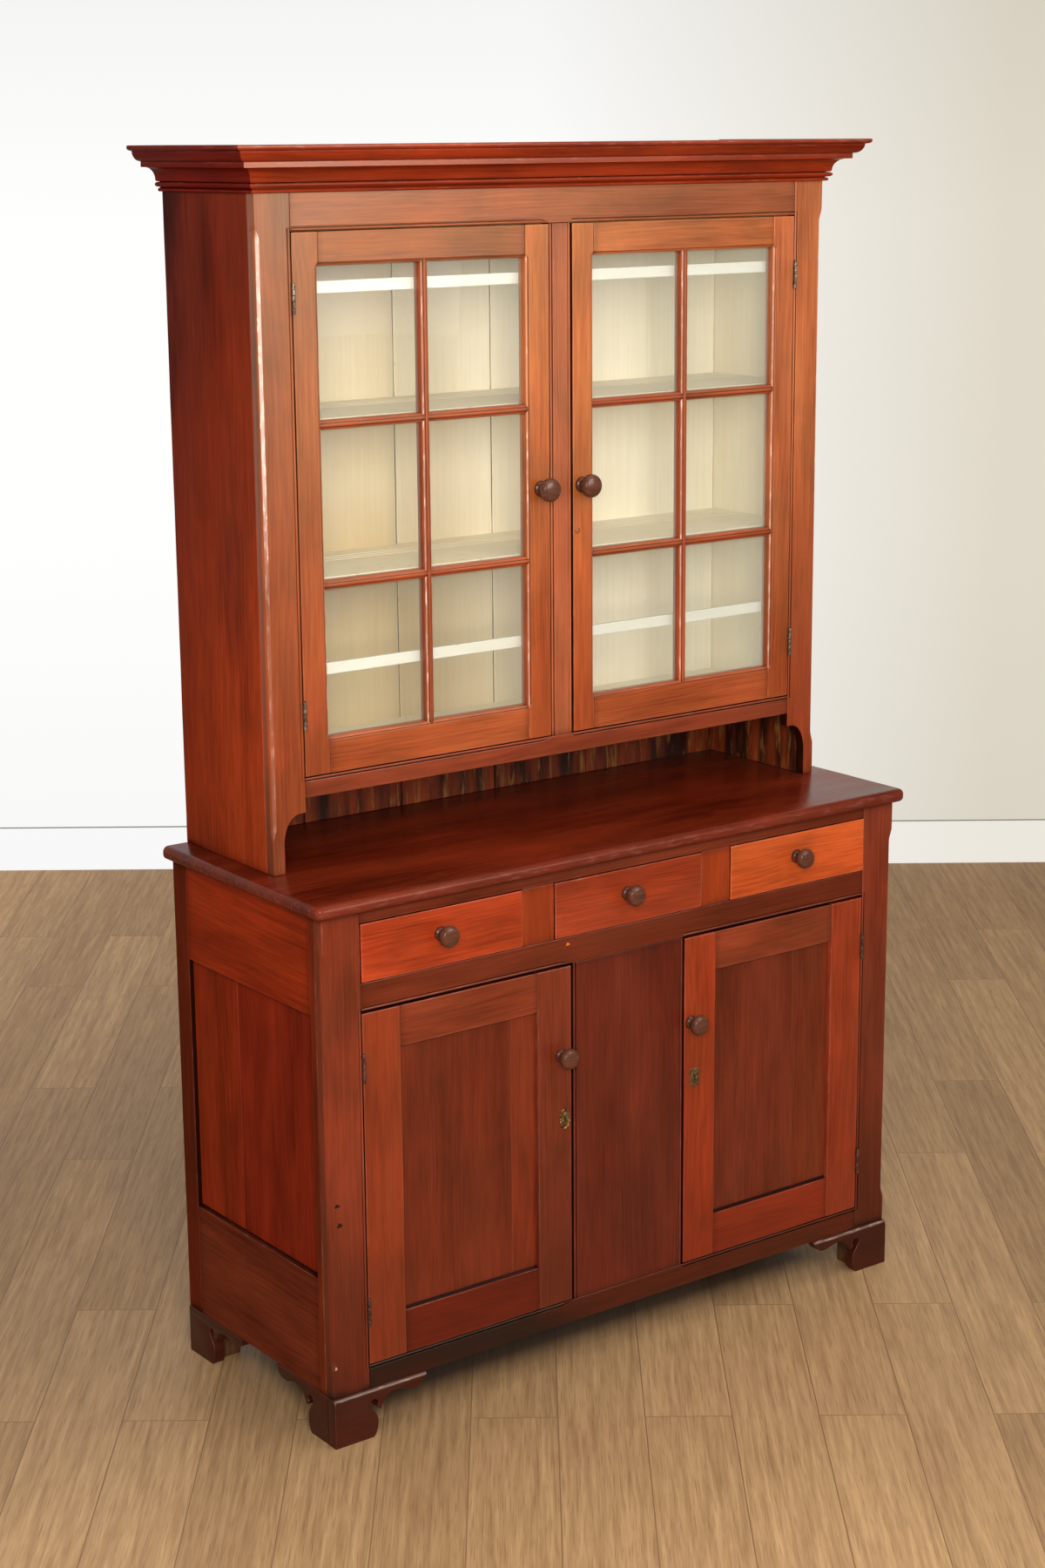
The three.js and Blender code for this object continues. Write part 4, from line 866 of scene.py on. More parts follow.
def base_sides():
    for word, side in SIDES:
        x, (front, rear), (foot, head) = spans(f"base_side_frame_{word}")
        _, *opening = spans(f"base_side_panel_{word}")
        (y0, y1), (z0, z1) = ((low + PANEL_TONGUE, high - PANEL_TONGUE) for low, high in opening)
        rail_y = (y0 + HAIRLINE, y1 - HAIRLINE)
        face = "-x" if side < 0 else "+x"
        shells = [
            board(x, (front, y0), (foot, head), "z", face, "base_side_stile"),
            board(x, (y1, rear), (foot, head), "z", face, "base_side_stile", gaps=["low"]),
            board(x, rail_y, (z1, head), "y", face, "base_side"),
            board(x, rail_y, (foot, z0), "y", face, "base_side_low", gaps=["high"]),
        ]
        darkened(shells[1], 1.0)
        make(f"base_side_boards_{word}", shells, [DRY_CHERRY], "case", "cherry", f"base_side_frame_{word}")
        marks = z0 + np.array([-1.0, 2.8, 4.4]) * MM
        # A painted shadow along the bottom of the panel where it runs into the frame
        ledge_shadow = lambda x, y, z: 2.4 * (z < z0 + 3 * MM)
        node = f"base_side_panel_{word}"
        halves = panel(node, 1, SEAM_SHARES["side"], face, "side_panel", 0.3 * MM, marks, ledge_shadow)
        make(f"base_side_panels_{word}", halves, [DRY_CHERRY], "case", "cherry", node)


def counter():
    """The counter: its plan has round front corners, and is drawn in above and below to a half round edge."""
    radius, corner = 10 * MM, 14 * MM
    low, high = COUNTER_LOW, COUNTER_HIGH
    turn = np.linspace(0, np.pi / 2, 9)
    left = low[:2] + corner - circle(turn, corner)
    right = left[::-1] * [-1, 1]
    side = np.linspace(high[1], low[1] + corner, 14)[:-1]
    run = np.linspace(left[-1, 0], right[0, 0], 42)[1:-1]
    outline = np.concatenate([
        [[low[0], y] for y in side], left, [[x, low[1]] for x in run], right,
        [[high[0], y] for y in side[::-1]],
    ])
    normal = np.concatenate([
        [[1, 0]] * len(side), circle(turn), [[0, 1]] * len(run), circle(turn[::-1]) * [-1, 1],
        [[-1, 0]] * len(side),
    ])
    angle = np.radians([-90, -70, -50, -30, -10, 10, 30, 50, 70, 90])
    inset = radius * (1 - np.cos(angle))
    middle = (high[2] - low[2]) / 2
    levels = (middle - radius) * np.sign(angle) + radius * np.sin(angle) + middle + low[2]
    flow = 1 + 0.1 * (wander(outline.sum(axis=1), 1, 1.0)[:, 0] - 1)
    flat = outline[None] + normal[None] * (inset[:, None] * flow[None])[..., None]
    rings = np.concatenate([flat, np.broadcast_to(levels[:, None, None], flat.shape[:2] + (1,))], axis=-1)
    # A paler band round the middle of the rounded edge: wear and a painted highlight
    worn = 0.6 * np.clip(np.cos(angle * 1.3), 0, 1)[:, None]
    shell = skin(rings, "counter", rings + [7.3, 0.16, -0.86], worn)
    make("counter_board", [shell], [COUNTER_CHERRY], "case", "cherry", "counter_top")


FOOT_LENGTH = 187 * MM
FOOT_THICK = 22 * MM
FOOT_PROUD = 8 * MM
FOOT_SIDE_PROUD = 2 * MM
SCROLL = 8 * MM
LEDGE_ROUND = 5 * MM
GLUE_BLOCK = 44 * MM


def bracket_outline(height):
    """The sawn edge of a bracket foot: a bulging foot, a pierced scroll, and an ogee wing up to the case."""
    scroll = np.array([0.42 * FOOT_LENGTH, 0.7 * height])
    curves = (
        (8, (0.41, 0), (0.465, 0.12), (0.462, 0.32)),
        (8, (0.462, 0.32), (0.455, 0.5), (0.4, 0.59)),
        (12, (0.485, 0.55), (0.52, 0.68), (0.55, 0.83), (0.64, 0.84)),
        (12, (0.64, 0.84), (0.76, 0.86), (0.8, 0.74), (0.9, 0.77)),
        (7, (0.9, 0.77), (0.97, 0.8), (1, 1)),
    )
    parts = [bezier(np.array(points) * [FOOT_LENGTH, height], count) for count, *points in curves]
    arc = scroll + circle(np.linspace(4 / 3 * np.pi, -0.25 * np.pi, 18), SCROLL)
    corner, wing = np.array([0, height]), np.array([FOOT_LENGTH, height])
    return np.concatenate([
        np.linspace([0, 0], [0.41 * FOOT_LENGTH, 0], 6, endpoint=False), *parts[:2], arc, *parts[2:],
        np.linspace(wing, corner, 16, endpoint=False), np.linspace(corner, [0, 0], 8, endpoint=False),
    ])


def behind_side(outline):
    """An outline that stops behind the foot's side piece, without the points that then fall together."""
    outline = np.maximum(outline, [FOOT_THICK + HAIRLINE, 0])
    return outline[np.any(outline != np.roll(outline, 1, axis=0), axis=1)]


def feet():
    """The bracket feet: a sawn piece along the front or the side, another one square to it, and a block."""
    height = BASE_LOW[2]
    outline = bracket_outline(height)
    ledge = np.where(outline[:, 1] > 0.999 * height, LEDGE_ROUND, 1.0 * MM)
    shorter = np.maximum(outline, [FOOT_THICK + HAIRLINE, 0])
    narrow, wide = 52 * MM, 120 * MM
    rear = behind_side(np.concatenate([
        np.linspace([0, 0], [narrow, 0], 5, endpoint=False),
        bezier([[narrow, 0], [narrow, height / 2], [wide, height]], 12),
        np.linspace([wide, height], [0, height], 8, endpoint=False),
        np.linspace([0, height], [0, 0], 5, endpoint=False),
    ]))
    front = BASE_FRONT - FOOT_PROUD
    block_z = (0.2 * MM, height - 0.3 * MM)
    for word, side in SIDES:
        edge = side * (BASE_HIGH[0] + FOOT_SIDE_PROUD)
        block_x = sorted(edge - side * (FOOT_THICK + reach) for reach in (0, GLUE_BLOCK))
        across = lambda a, d, up: np.stack([edge - side * a, front + d, up], axis=-1)
        sideways = lambda a, d, up: np.stack([edge - side * d, front + a, up], axis=-1)
        backward = lambda a, d, up: np.stack([edge - side * d, BACK - a, up], axis=-1)
        behind = lambda a, d, up: np.stack([edge - side * a, BACK - d, up], axis=-1)
        ends = (
            ("front", (outline, across), ledge, (shorter, sideways), front + FOOT_THICK),
            ("rear", (outline, backward), None, (rear, behind), BACK - FOOT_THICK - GLUE_BLOCK),
        )
        for end, first, top_round, second, y in ends:
            shells = [
                fretwork(*first, "foot", FOOT_THICK, top_round=top_round),
                fretwork(*second, "foot", FOOT_THICK),
                standing(block_x, (y, y + GLUE_BLOCK), block_z, "glue_block"),
            ]
            make(f"{end}_bracket_foot_{word}", shells, [CHERRY], "case", "cherry", f"{end}_foot_{word}")


def knob_profile(radius, reach, front, spindle):
    """Half section of a mushroom knob: rosette, hollow neck and domed crown, as (radius, y)."""
    shares = np.array([
        [0.62, 0.0], [0.68, 0.03], [0.69, 0.08], [0.66, 0.13], [0.57, 0.16], [0.50, 0.19], [0.47, 0.23],
        [0.50, 0.27], [0.49, 0.31], [0.43, 0.35], [0.42, 0.41], [0.47, 0.47], [0.62, 0.52], [0.80, 0.555],
        [0.93, 0.60], [0.985, 0.66], [1.0, 0.73], [0.99, 0.80], [0.96, 0.86], [0.90, 0.91], [0.87, 0.925],
        [0.86, 0.935], [0.78, 0.955], [0.6, 0.978], [0.4, 0.992], [0.2, 1.0], [0.01, 1.0],
    ])
    outer = np.stack([radius * shares[:, 0], front - reach * shares[:, 1]], axis=1)
    stem = np.array([[0.2 * MM, front + spindle], [5 * MM, front + spindle], [5 * MM, front]])
    worn = np.concatenate([np.zeros(3), np.clip((shares[:, 1] - 0.6) * 4, 0, 1)])
    return np.concatenate([stem, outer]), worn


def tongue(x, z, y):
    """The latch tongue on a knob's spindle: a small tapered bar with round ends."""
    length, half = 42 * MM, 7 * MM
    low = circle(np.linspace(np.pi, 2 * np.pi, 14), half) + [0, half - length]
    outline = np.concatenate([low, circle(np.linspace(0, np.pi, 14), half)])
    place = lambda a, d, up: np.stack([x + a, y + d, z + up], axis=-1)
    return fretwork(outline, place, "knob", 6 * MM)


def knobs():
    """Seven turned knobs; those of the doors carry a tongue on their spindle, behind the frame."""
    for word in DRAWERS:
        low, high = corners(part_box(f"drawer_knob_{word}"))
        centre = (low + high) / 2
        front = BASE_FRONT - DRAWER_PROUD
        profile, worn = knob_profile(high[0] - centre[0], front - low[1], front, DRAWER_SPINDLE)
        shell = turned(profile, (centre[0], 0, centre[2]), "knob", worn=worn)
        node = f"drawer_knob_{word}"
        make(f"turned_{node}", [shell], [WALNUT], f"drawer_{word}", "dark_wood", node)
    for level, front in (("lower", BASE_FRONT), ("upper", UPPER_FRONT)):
        for word in ("left", "right"):
            node = f"{level}_{word}_door_knob"
            low, high = corners(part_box(node))
            radius = (high[0] - low[0]) / 2
            centre = ((low[0] + high[0]) / 2, 0, high[2] - radius)
            profile, worn = knob_profile(radius, front - low[1], front, FRAME_THICK + 2 * MM)
            shells = [
                turned(profile, centre, "knob", worn=worn),
                tongue(centre[0], centre[2], front + FRAME_THICK + 0.5 * MM),
            ]
            make(f"turned_{node}", shells, [WALNUT], f"{level}_{word}_latch", "dark_wood", node)


def drawers():
    side = DRAWER_SIDE
    for word in DRAWERS:
        x, (front, back), z = spans(f"drawer_{word}")
        y = front + FRAME_THICK
        x0, x1 = x[0] + 0.8 * MM, x[1] - 0.8 * MM
        inside = (x0 + side, x1 - side)
        walls = (z[0], z[0] + DRAWER_WALL)
        floor = z[0] + 8 * MM
        shells = [
            lying(x, (front, y), z, f"drawer_{word}", radius=1.6 * MM, ends="free", gaps=["low", "high"]),
            board((x0, inside[0]), (y, back), walls, "y", "-x", "raw", ends="free"),
            board((inside[1], x1), (y, back), walls, "y", "+x", "raw", ends="free"),
            board(inside, (back - side, back), (floor, floor + 74 * MM), "x", "+y", "raw"),
            board(inside, (y, back - side), (floor, floor + 7 * MM), "x", "+z", "raw"),
        ]
        make(f"drawer_boards_{word}", shells, [CHERRY], f"drawer_{word}", "light_cherry", f"drawer_{word}")


def lower_doors():
    for word, side in SIDES:
        door = f"lower_{word}_door"
        (x0, x1), y, (z0, z1) = spans(f"{door}_frame")
        inner = (x0 + LOWER_STILE, x1 - LOWER_STILE)
        x = (x0 + SHRINKAGE * (side > 0), x1 - SHRINKAGE * (side < 0))
        z1 -= SHRINKAGE
        opening = (z0 + LOWER_BOTTOM_RAIL, z1 - LOWER_TOP_RAIL)
        parts = ("hinge_stile", "free_stile")[::-side] + ("top_rail", "low_rail")
        stains = [f"{word}_{part}" for part in parts]
        shells = door_frame(x, y, (z0, z1), inner, opening, stains, ["low", "high"])
        free = int(side < 0)
        for k, amount in ((free, 1.3), (1 - free, 0.5 + 0.4 * (side > 0)), (3, 0.4)):
            darkened(shells[k], lambda x, y, z: amount * rise(z, 640 * MM, 200 * MM))
        make(f"{door}_boards", shells, [CHERRY], door, "light_cherry", f"{door}_frame")
        z0, z1 = spans(f"{door}_panel")[2]
        in_frame = 11 * MM
        shadow = lambda x, y, z: 2.2 * (z < z0 + in_frame) + 1.0 * (z > z1 - in_frame)
        steps = np.array([7.0, 10.6, 12.2]) * MM
        marks = [*(z0 + steps), *(z1 - steps)]
        node = f"{door}_panel"
        halves = panel(node, 0, SEAM_SHARES[word], "-y", f"{word}_panel", 0.1 * MM, marks, shadow)
        make(f"{door}_field", halves, [CHERRY], door, "cherry", node)


# Pieces of the upper case


def upper_face_frame():
    (x0, x1), y, (z0, z1) = spans("upper_face_frame")
    sash_z = spans("upper_left_sash")[2]
    opening = (sash_z[0] - DOOR_GAP, sash_z[1] + DOOR_GAP)
    rail_z = opening[0] - UPPER_BOTTOM_RAIL
    shoulder = rail_z - ARCH_DROP
    springing = shoulder - ARCH_RISE
    inner = (x0 + UPPER_STILE, x1 - UPPER_STILE)

    def stile_width(t):
        """Width of a corner stile at each height: the leg, a quarter curve, a small step, the full stile."""
        share = np.clip((t - springing) / ARCH_RISE, 0, 1)
        arch = LEG + (UPPER_STILE - ARCH_STEP - LEG) * (1 - np.sqrt(np.clip(1 - share**2.2, 0, 1)))
        return np.where(t >= shoulder, UPPER_STILE, arch)

    left = lambda t, u_low, u_high: (u_low, u_low + stile_width(t))
    right = lambda t, u_low, u_high: (u_high - stile_width(t), u_high)
    chamfer = (z0 + UPPER_CHAMFER_ENDS[0], CORNICE_FOOT - UPPER_CHAMFER_ENDS[1])
    stains = ("upper_frame", "upper_right_stile")
    arch = np.linspace(springing, shoulder, 12)
    shells = corner_stiles((x0, x1), y, (z0, z1), inner, opening, chamfer, CHAMFER_WEAR_AND_HIGHLIGHT, stains, arch,
                           (left, right))
    # Paleness, on the chamfers partly a painted highlight, fades to 0.3 of itself below about 1.42 m
    for shell in shells:
        shell["worn"] = shell["worn"] * (0.3 + 0.7 * rise(shell["points"][:, 2], 1420 * MM, 1620 * MM))
    # The stains turn darker and redder lower down; their paler top is partly painted sheen
    toned(shells[0], "upper_frame_low", 1250 * MM, 1650 * MM)
    toned(shells[1], "upper_right_low", 1150 * MM, 1700 * MM)
    darkened(shells[1], lambda x, y, z: 0.35 * rise(z, 1500 * MM, 1050 * MM))
    centre = (-CENTRE_STILE / 2, CENTRE_STILE / 2)
    upright = (opening[0] + HAIRLINE, opening[1] - HAIRLINE)
    bead = (beaded(), always)
    shells.append(standing(centre, y, upright, "centre_stile", low=bead, high=bead, gaps=["low", "high"]))
    beads = beads_over((inner[0], centre[0]), (centre[1], inner[1]))
    rail = (inner[0] + HAIRLINE, inner[1] - HAIRLINE)
    shells.append(lying(rail, y, (opening[1], z1), "frieze", low=beads, marks=centre, gaps=["low"]))
    low_rail = lying(rail, y, (rail_z, opening[0]), "upper_low_rail", high=beads, marks=centre, gaps=["high"])
    shells.append(darkened(low_rail, lambda x, y, z: 0.1 * rise(x, 0, 500 * MM)))
    make("upper_frame_boards", shells, [CHERRY], "case", "cherry", "upper_face_frame")


def side_darkening(x, y, z):
    """Darkening on the outside of an upper side, more towards the top and the back, and a little darkening
    inside.
    """
    outside_darkening = 1.25 * rise(z, 1250 * MM, 1950 * MM) + 0.9 * rise(y, BACK - 230 * MM, BACK)
    return np.where(abs(x) > UPPER_HIGH[0] - SIDE_THICK / 2, outside_darkening, 0.38)


def upper_sides():
    floor = spans("upper_bottom_board")[2][0]
    for word, side in SIDES:
        x, y, z = spans(f"upper_side_{word}")
        skins = [("back", floor, z[1], 1), ("back", z[0], floor, 2)]
        shell = board(x, y, z, "z", "-x" if side < 0 else "+x", "upper_side", skins=skins)
        finishes = [DRY_CHERRY, PAINT, SMOKED]
        make(f"upper_side_board_{word}", [darkened(shell, side_darkening)], finishes, "case", "cherry",
             f"upper_side_{word}")


def upper_back():
    (_, half), y, z = spans("upper_back_boards")
    floor = spans("upper_bottom_board")[2][0]
    seam_shares = (-1, -0.64, -0.28, 0.084, 0.457, 1)
    skins = [("all", z[0], floor, 1), ("back", z[0] - 1, z[1] + 1, 2)]
    # Painted shade: the paint inside the case grows darker and yellower towards the left and the bottom
    interior_shade = lambda x, y, z: rise(x, 0.3, -0.2) * (0.5 + 0.8 * rise(z, 1.55, 1.25))
    shells = []
    for a, b in zip(seam_shares, seam_shares[1:]):
        x = (a * half + 1.0 * MM, b * half - 1.0 * MM)
        shell = standing(x, y, z, "raw", radius=1.8 * MM, gaps=["low", "high"], skins=skins)
        shells.append(darkened(shell, interior_shade))
    darkened(shells[1], 0.2)
    make("upper_back_planks", shells, [PAINT, SMOKED, RAW_PINE], "case", "cream_paint", "upper_back_boards")
    x, (front, back), z = spans("upper_top_board")
    depth = (back - front) / 2
    planks = []
    for k in (0, 1):
        y = (front + k * depth + 0.3 * MM, front + (k + 1) * depth - 0.3 * MM)
        planks.append(board(x, y, z, "x", "+z", "raw", ends="free"))
    make("upper_top_planks", planks, [RAW_PINE], "case", "back_wood", "upper_top_board")


def shelves():
    """Painted shelves with three plate grooves, the painted board below them, and two plate bars."""
    front = eased(2 * MM, 6)
    groove = np.array([[-2.5, 0], [-1.2, -2], [1.2, -2], [2.5, 0]]) * MM
    for node in ("lower_shelf", "upper_shelf", "upper_bottom_board"):
        (x0, x1), (y0, y1), (z0, z1) = spans(node)
        depth, thick = y1 - y0, z1 - z0
        nose = [[[depth, -thick]], front[::-1] - [0, thick], front * [1, -1]]
        steps = (3, 2, 1) if node.endswith("shelf") else ()
        grooves = [groove + [depth - 34 * MM - 18 * MM * k, 0] for k in steps]
        profile = np.concatenate([*nose, *grooves, [[depth, 0]]])
        worn = np.zeros(len(profile))
        worn[1:13] = 0.4
        shell = moulding(profile, (x0, y0, z1), (x1, y0, z1), (0, 1, 0), "raw", worn=worn)
        make(f"painted_{node}", [darkened(shell, 0.3)], [PAINT], "case", "cream_paint", node)
    for node in ("lower_plate_bar", "upper_plate_bar"):
        shell = lying(*spans(node), "raw", radius=1.5 * MM)
        make(f"painted_{node}", [shell], [BAR_PAINT], "case", "cream_paint", node)


def cornice():
    rows = np.array([
        [0, 0], [5, 0], [7.2, 1.2], [7.8, 3.4], [6.6, 5.2], [3.2, 6.6], [3.0, 7.2], [9.5, 8.0], [12.2, 9.6],
        [13.2, 11.6], [12.4, 13.8], [9.0, 15.4], [3.0, 16.0], [10.5, 16.8], [11.8, 18.6], [12.0, 21.0],
        [12.8, 25.4], [14.6, 29.8], [17.6, 33.6], [21.6, 37.0], [27.4, 39.2], [37.6, 39.6], [38.0, 40.0],
        [38.0, 48.2], [38.6, 48.8], [43.2, 49.6], [46.6, 51.2], [49.4, 53.8], [51.6, 57.0], [53.2, 61.0],
        [53.8, 65.2], [57.6, 66.0], [61.4, 67.4], [62.8, 69.6], [63.0, 71.8], [62.4, 73.6], [61.0, 74.4],
        [0, 74.4],
    ]) * MM
    noses = np.isin(np.arange(len(rows)), [3, 10, 11, 23, 24, 30, 33, 34, 35])
    z = CORNICE_FOOT
    x0, x1 = UPPER_LOW[0], UPPER_HIGH[0]
    worn = noses * 0.35
    front, rear = ((x0, UPPER_FRONT, z), (x1, UPPER_FRONT, z)), ((x0, BACK, z), (x1, BACK, z))
    shell = moulding(rows, *front, (0, -1, 0), "cornice", (1, 1), worn=worn)
    make("cornice_front", [shell], [POLISHED_CHERRY], "case", "cherry", "cornice")
    shells = [
        moulding(rows, rear[k], front[k], (side, 0, 0), "cornice_side", (0, 1), worn=worn)
        for k, (_, side) in enumerate(SIDES)
    ]
    make("cornice_returns", shells, [DRY_CHERRY], "case", "cherry")


def upper_doors():
    """Sashes of six lights, with bars that run into the stiles and rails, and a pane in each light."""
    for word in ("left", "right"):
        (x0, x1), y, z = spans(f"upper_{word}_sash")
        light_x = (x0 + SASH_STILE, x1 - SASH_STILE)
        light_z = (z[0] + SASH_BOTTOM_RAIL, z[1] - SASH_TOP_RAIL)
        beyond = (light_z[0] - STICKING, light_z[1] + STICKING)
        pane_w = (light_x[1] - light_x[0] - (PANE_COLUMNS - 1) * MUNTIN) / PANE_COLUMNS
        pane_h = (light_z[1] - light_z[0] - (PANE_ROWS - 1) * MUNTIN) / PANE_ROWS
        stick_z = (ovolo(), between(*light_z, STICKING))
        stick_x = (ovolo(0.35), always)
        stick_bar = (ovolo(), always)
        kinds = ("hinge", "free") if word == "left" else ("free", "right")
        stains = [f"sash_{kind}_stile" for kind in kinds] + [f"{word}_sash_top_rail", "sash_low_rail"]
        x = (x0 + SHRINKAGE * (word == "right"), x1)
        shells = door_frame(x, y, z, light_x, light_z, stains, ["low"], stick_z, stick_x, [*beyond, *light_z])
        # The stiles turn darker and redder lower down; their paler top is partly painted sheen
        for shell, stain in zip(shells[:2], stains):
            toned(shell, stain.replace("stile", "low"), *SASH_FADE)
        bar_y = (y[0] + 0.6 * MM, y[1])
        for column in range(1, PANE_COLUMNS):
            x = light_x[0] + column * pane_w + (column - 1) * MUNTIN
            shells.append(standing((x, x + MUNTIN), bar_y, beyond, "sash_bar", low=stick_bar, high=stick_bar))
        panes = []
        glass = spans(f"upper_{word}_glass")[1][0]
        for column in range(PANE_COLUMNS):
            low = light_x[0] + column * (pane_w + MUNTIN)
            high = low + pane_w
            for row in range(PANE_ROWS):
                z = light_z[0] + row * (pane_h + MUNTIN)
                if row:
                    shells.append(lying((low - STICKING, high + STICKING), bar_y, (z - MUNTIN, z), "sash_bar",
                                        low=stick_x, high=stick_x))
                panes.append(standing((low - PANE_LAP, high + PANE_LAP), (glass, glass + PANE_THICK),
                                      (z - PANE_LAP, z + pane_h + PANE_LAP), "raw", radius=0.3 * MM))
        door = f"upper_{word}_door"
        make(f"upper_{word}_sash_bars", shells, [CHERRY], door, "light_cherry", f"upper_{word}_sash")
        make(f"upper_{word}_panes", panes, [GLASS], door, "glass", f"upper_{word}_glass")


def hinges():
    """Each leaf with its share of the five knuckles, on the body that it is screwed to."""
    radius, knuckle, round_off = 3.2 * MM, 10 * MM, 0.5 * MM
    for level, (word, outward), end in product(("lower", "upper"), SIDES, ("bottom", "top")):
        iron = STAINED_IRON if level == "lower" else HINGE_IRON
        leaves = (("frame", "case", 0, outward), ("door", f"{level}_{word}_door", 1, -outward))
        for part, body, parity, side in leaves:
            node = f"{level}_{word}_hinge_{part}_leaf_{end}"
            x, (front, back), z = spans(node)
            pin = (x[side < 0] + side * radius, front + radius)
            z0 = (z[0] + z[1]) / 2 - 2.5 * knuckle
            plate_x = sorted((pin[0] + side * 0.75 * MM, pin[0] + side * 2.15 * MM))
            plate_z = (z0, z0 + 5 * knuckle)
            shells = [board(plate_x, (pin[1], back), plate_z, "z", "-x", "knob", radius=0.3 * MM)]
            for k in range(parity, 5, 2):
                a, b = z0 + k * knuckle + 0.2 * MM, z0 + (k + 1) * knuckle - 0.2 * MM
                profile = np.array([[0.2 * MM, a], [radius - round_off, a], [radius, a + round_off],
                                    [radius, b - round_off], [radius - round_off, b], [0.2 * MM, b]])
                shells.append(turned(profile, (*pin, 0), "knob", axis="z", segments=24))
            make(f"butt_{node}", shells, [iron], body, "hinge_iron", node)


def keyhole(angle):
    """Distance from the centre of a keyhole to its edge: a round hole with a slot running down from it."""
    down = np.maximum(-np.sin(angle), 1e-6)
    slot = np.minimum(1.8 * MM / np.maximum(np.abs(np.cos(angle)), 1e-6), 8.5 * MM / down)
    return np.maximum(3.2 * MM, np.where(np.sin(angle) < 0, slot, 0))


def plain_plate(angle):
    """A plate with straight sides and top and a half round bottom."""
    half, top, centre = 11 * MM, 15 * MM, 10 * MM
    side = half / np.maximum(np.abs(np.cos(angle)), 1e-6)
    upper = np.minimum(side, top / np.maximum(np.sin(angle), 1e-6))
    low = -centre * np.sin(angle) + np.sqrt(np.maximum(half**2 - (centre * np.cos(angle)) ** 2, 0))
    return np.where(np.sin(angle) > 0, upper, np.where(side * np.sin(angle) > -centre, side, low))


def pressed_plate(angle):
    """An oval with twelve small scallops."""
    oval = 1 / np.sqrt((np.cos(angle) / (11 * MM)) ** 2 + (np.sin(angle) / (19 * MM)) ** 2)
    return oval * (1 + 0.05 * np.cos(12 * angle))


PLATES = (
    ("left", BRASS, -143.5 * MM, 474.5 * MM, pressed_plate, (0, 0.7, 1.5, 1.5, 0.8, 0.5, 1.2, 1.4, 1.1), 0.4),
    ("right", BROWN_BRASS, 152.5 * MM, 488.5 * MM, plain_plate, (0, 0.7, 1, 1, 1, 1, 1, 1, 0.8), 0.0),
)
PLATE_SHARES = np.array([1, 1, 0.95, 0.86, 0.78, 0.62, 0.45, 0.2, 0.0])[:, None]


def escutcheons():
    """Each plate is rings about its keyhole, from its outer edge over its moulded face down into the hole."""
    angle = np.linspace(0, 2 * np.pi, 144, endpoint=False)
    direction = circle(angle)
    hole = keyhole(angle)
    for word, metal, x, z, outline, heights, relief in PLATES:
        distance = hole + (outline(angle) - hole) * PLATE_SHARES
        moulded = (PLATE_SHARES > 0.7) & (PLATE_SHARES < 0.99)
        height = np.array(heights)[:, None] * MM * (1 + relief * np.cos(12 * angle) * moulded)
        ring_x, ring_z = (centre + distance * direction[:, k] for k, centre in enumerate((x, z)))
        rings = np.stack([ring_x, BASE_FRONT - height, ring_z], axis=-1)
        back = rings[[-1, 0]].copy()
        back[..., 1] = BASE_FRONT + 0.2 * MM
        shell = skin(np.concatenate([rings, back]), "knob", wrap=True)
        make(f"{word}_escutcheon", [shell], [metal], f"lower_{word}_door", "hinge_iron")
        y = (BASE_FRONT - 0.15 * MM, BASE_FRONT + 0.2 * MM)
        shell = standing((x - 4 * MM, x + 4 * MM), y, (z - 9 * MM, z + 4 * MM), "knob", radius=0.05 * MM)
        make(f"{word}_keyhole_shadow", [shell], [SHADOW], f"lower_{word}_door", "dark_wood")


CHIPS = (
    ("dent_high", -617 * MM, 430 * MM, 10 * MM, 6 * MM, "dent"),
    ("dent_low", -613 * MM, 395 * MM, 10 * MM, 8 * MM, "dent"),
    ("orange_chip", -135 * MM, 790.7 * MM, 8 * MM, 5 * MM, "chip"),
    ("putty_dot", -627 * MM, 142 * MM, 4 * MM, 6 * MM, "putty"),
)


def repairs():
    """A wooden plug in the right sash, and on the base two dents, an orange chip and a dot of putty."""
    ring = np.array([[0.1, 0.2], [5.2, 0.2], [5.2, -0.25], [4.9, -0.35], [0.1, -0.35]]) * MM
    disc = np.array([[0.1, 0.2], [4.3, 0.2], [4.3, -0.5], [4.0, -0.6], [0.1, -0.6]]) * MM
    place = (36 * MM, UPPER_FRONT, 1470 * MM)
    shells = [turned(ring, place, "plug"), turned(disc, place, "sash_free_stile")]
    make("sash_plug", shells, [CHERRY], "upper_right_door", "light_cherry")
    angle = np.linspace(0, 2 * np.pi, 26, endpoint=False)
    for name, x, z, width, height, stain in CHIPS:
        uneven = 1 + 0.22 * np.cos(3 * angle + 1) + 0.12 * np.cos(7 * angle)
        outline = [x, z] + circle(angle) * uneven[:, None] * [width / 2, height / 2]
        place = lambda a, d, up: np.stack([a, BASE_FRONT - 0.25 * MM + d, up], axis=-1)
        shell = fretwork(outline, place, stain, 0.4 * MM, radius=0.1 * MM)
        make(name, [shell], [RAW_PINE], "case", "light_cherry")


def carried_over():
    """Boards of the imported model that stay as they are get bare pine."""
    for node in ("base_bottom_board", "base_shelf", "drawer_runner_frame", "base_back_boards"):
        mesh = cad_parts[node].data
        mesh.materials.clear()
        mesh.materials.append(BACK_PINE if node == "base_back_boards" else INSIDE_PINE)


# Studio

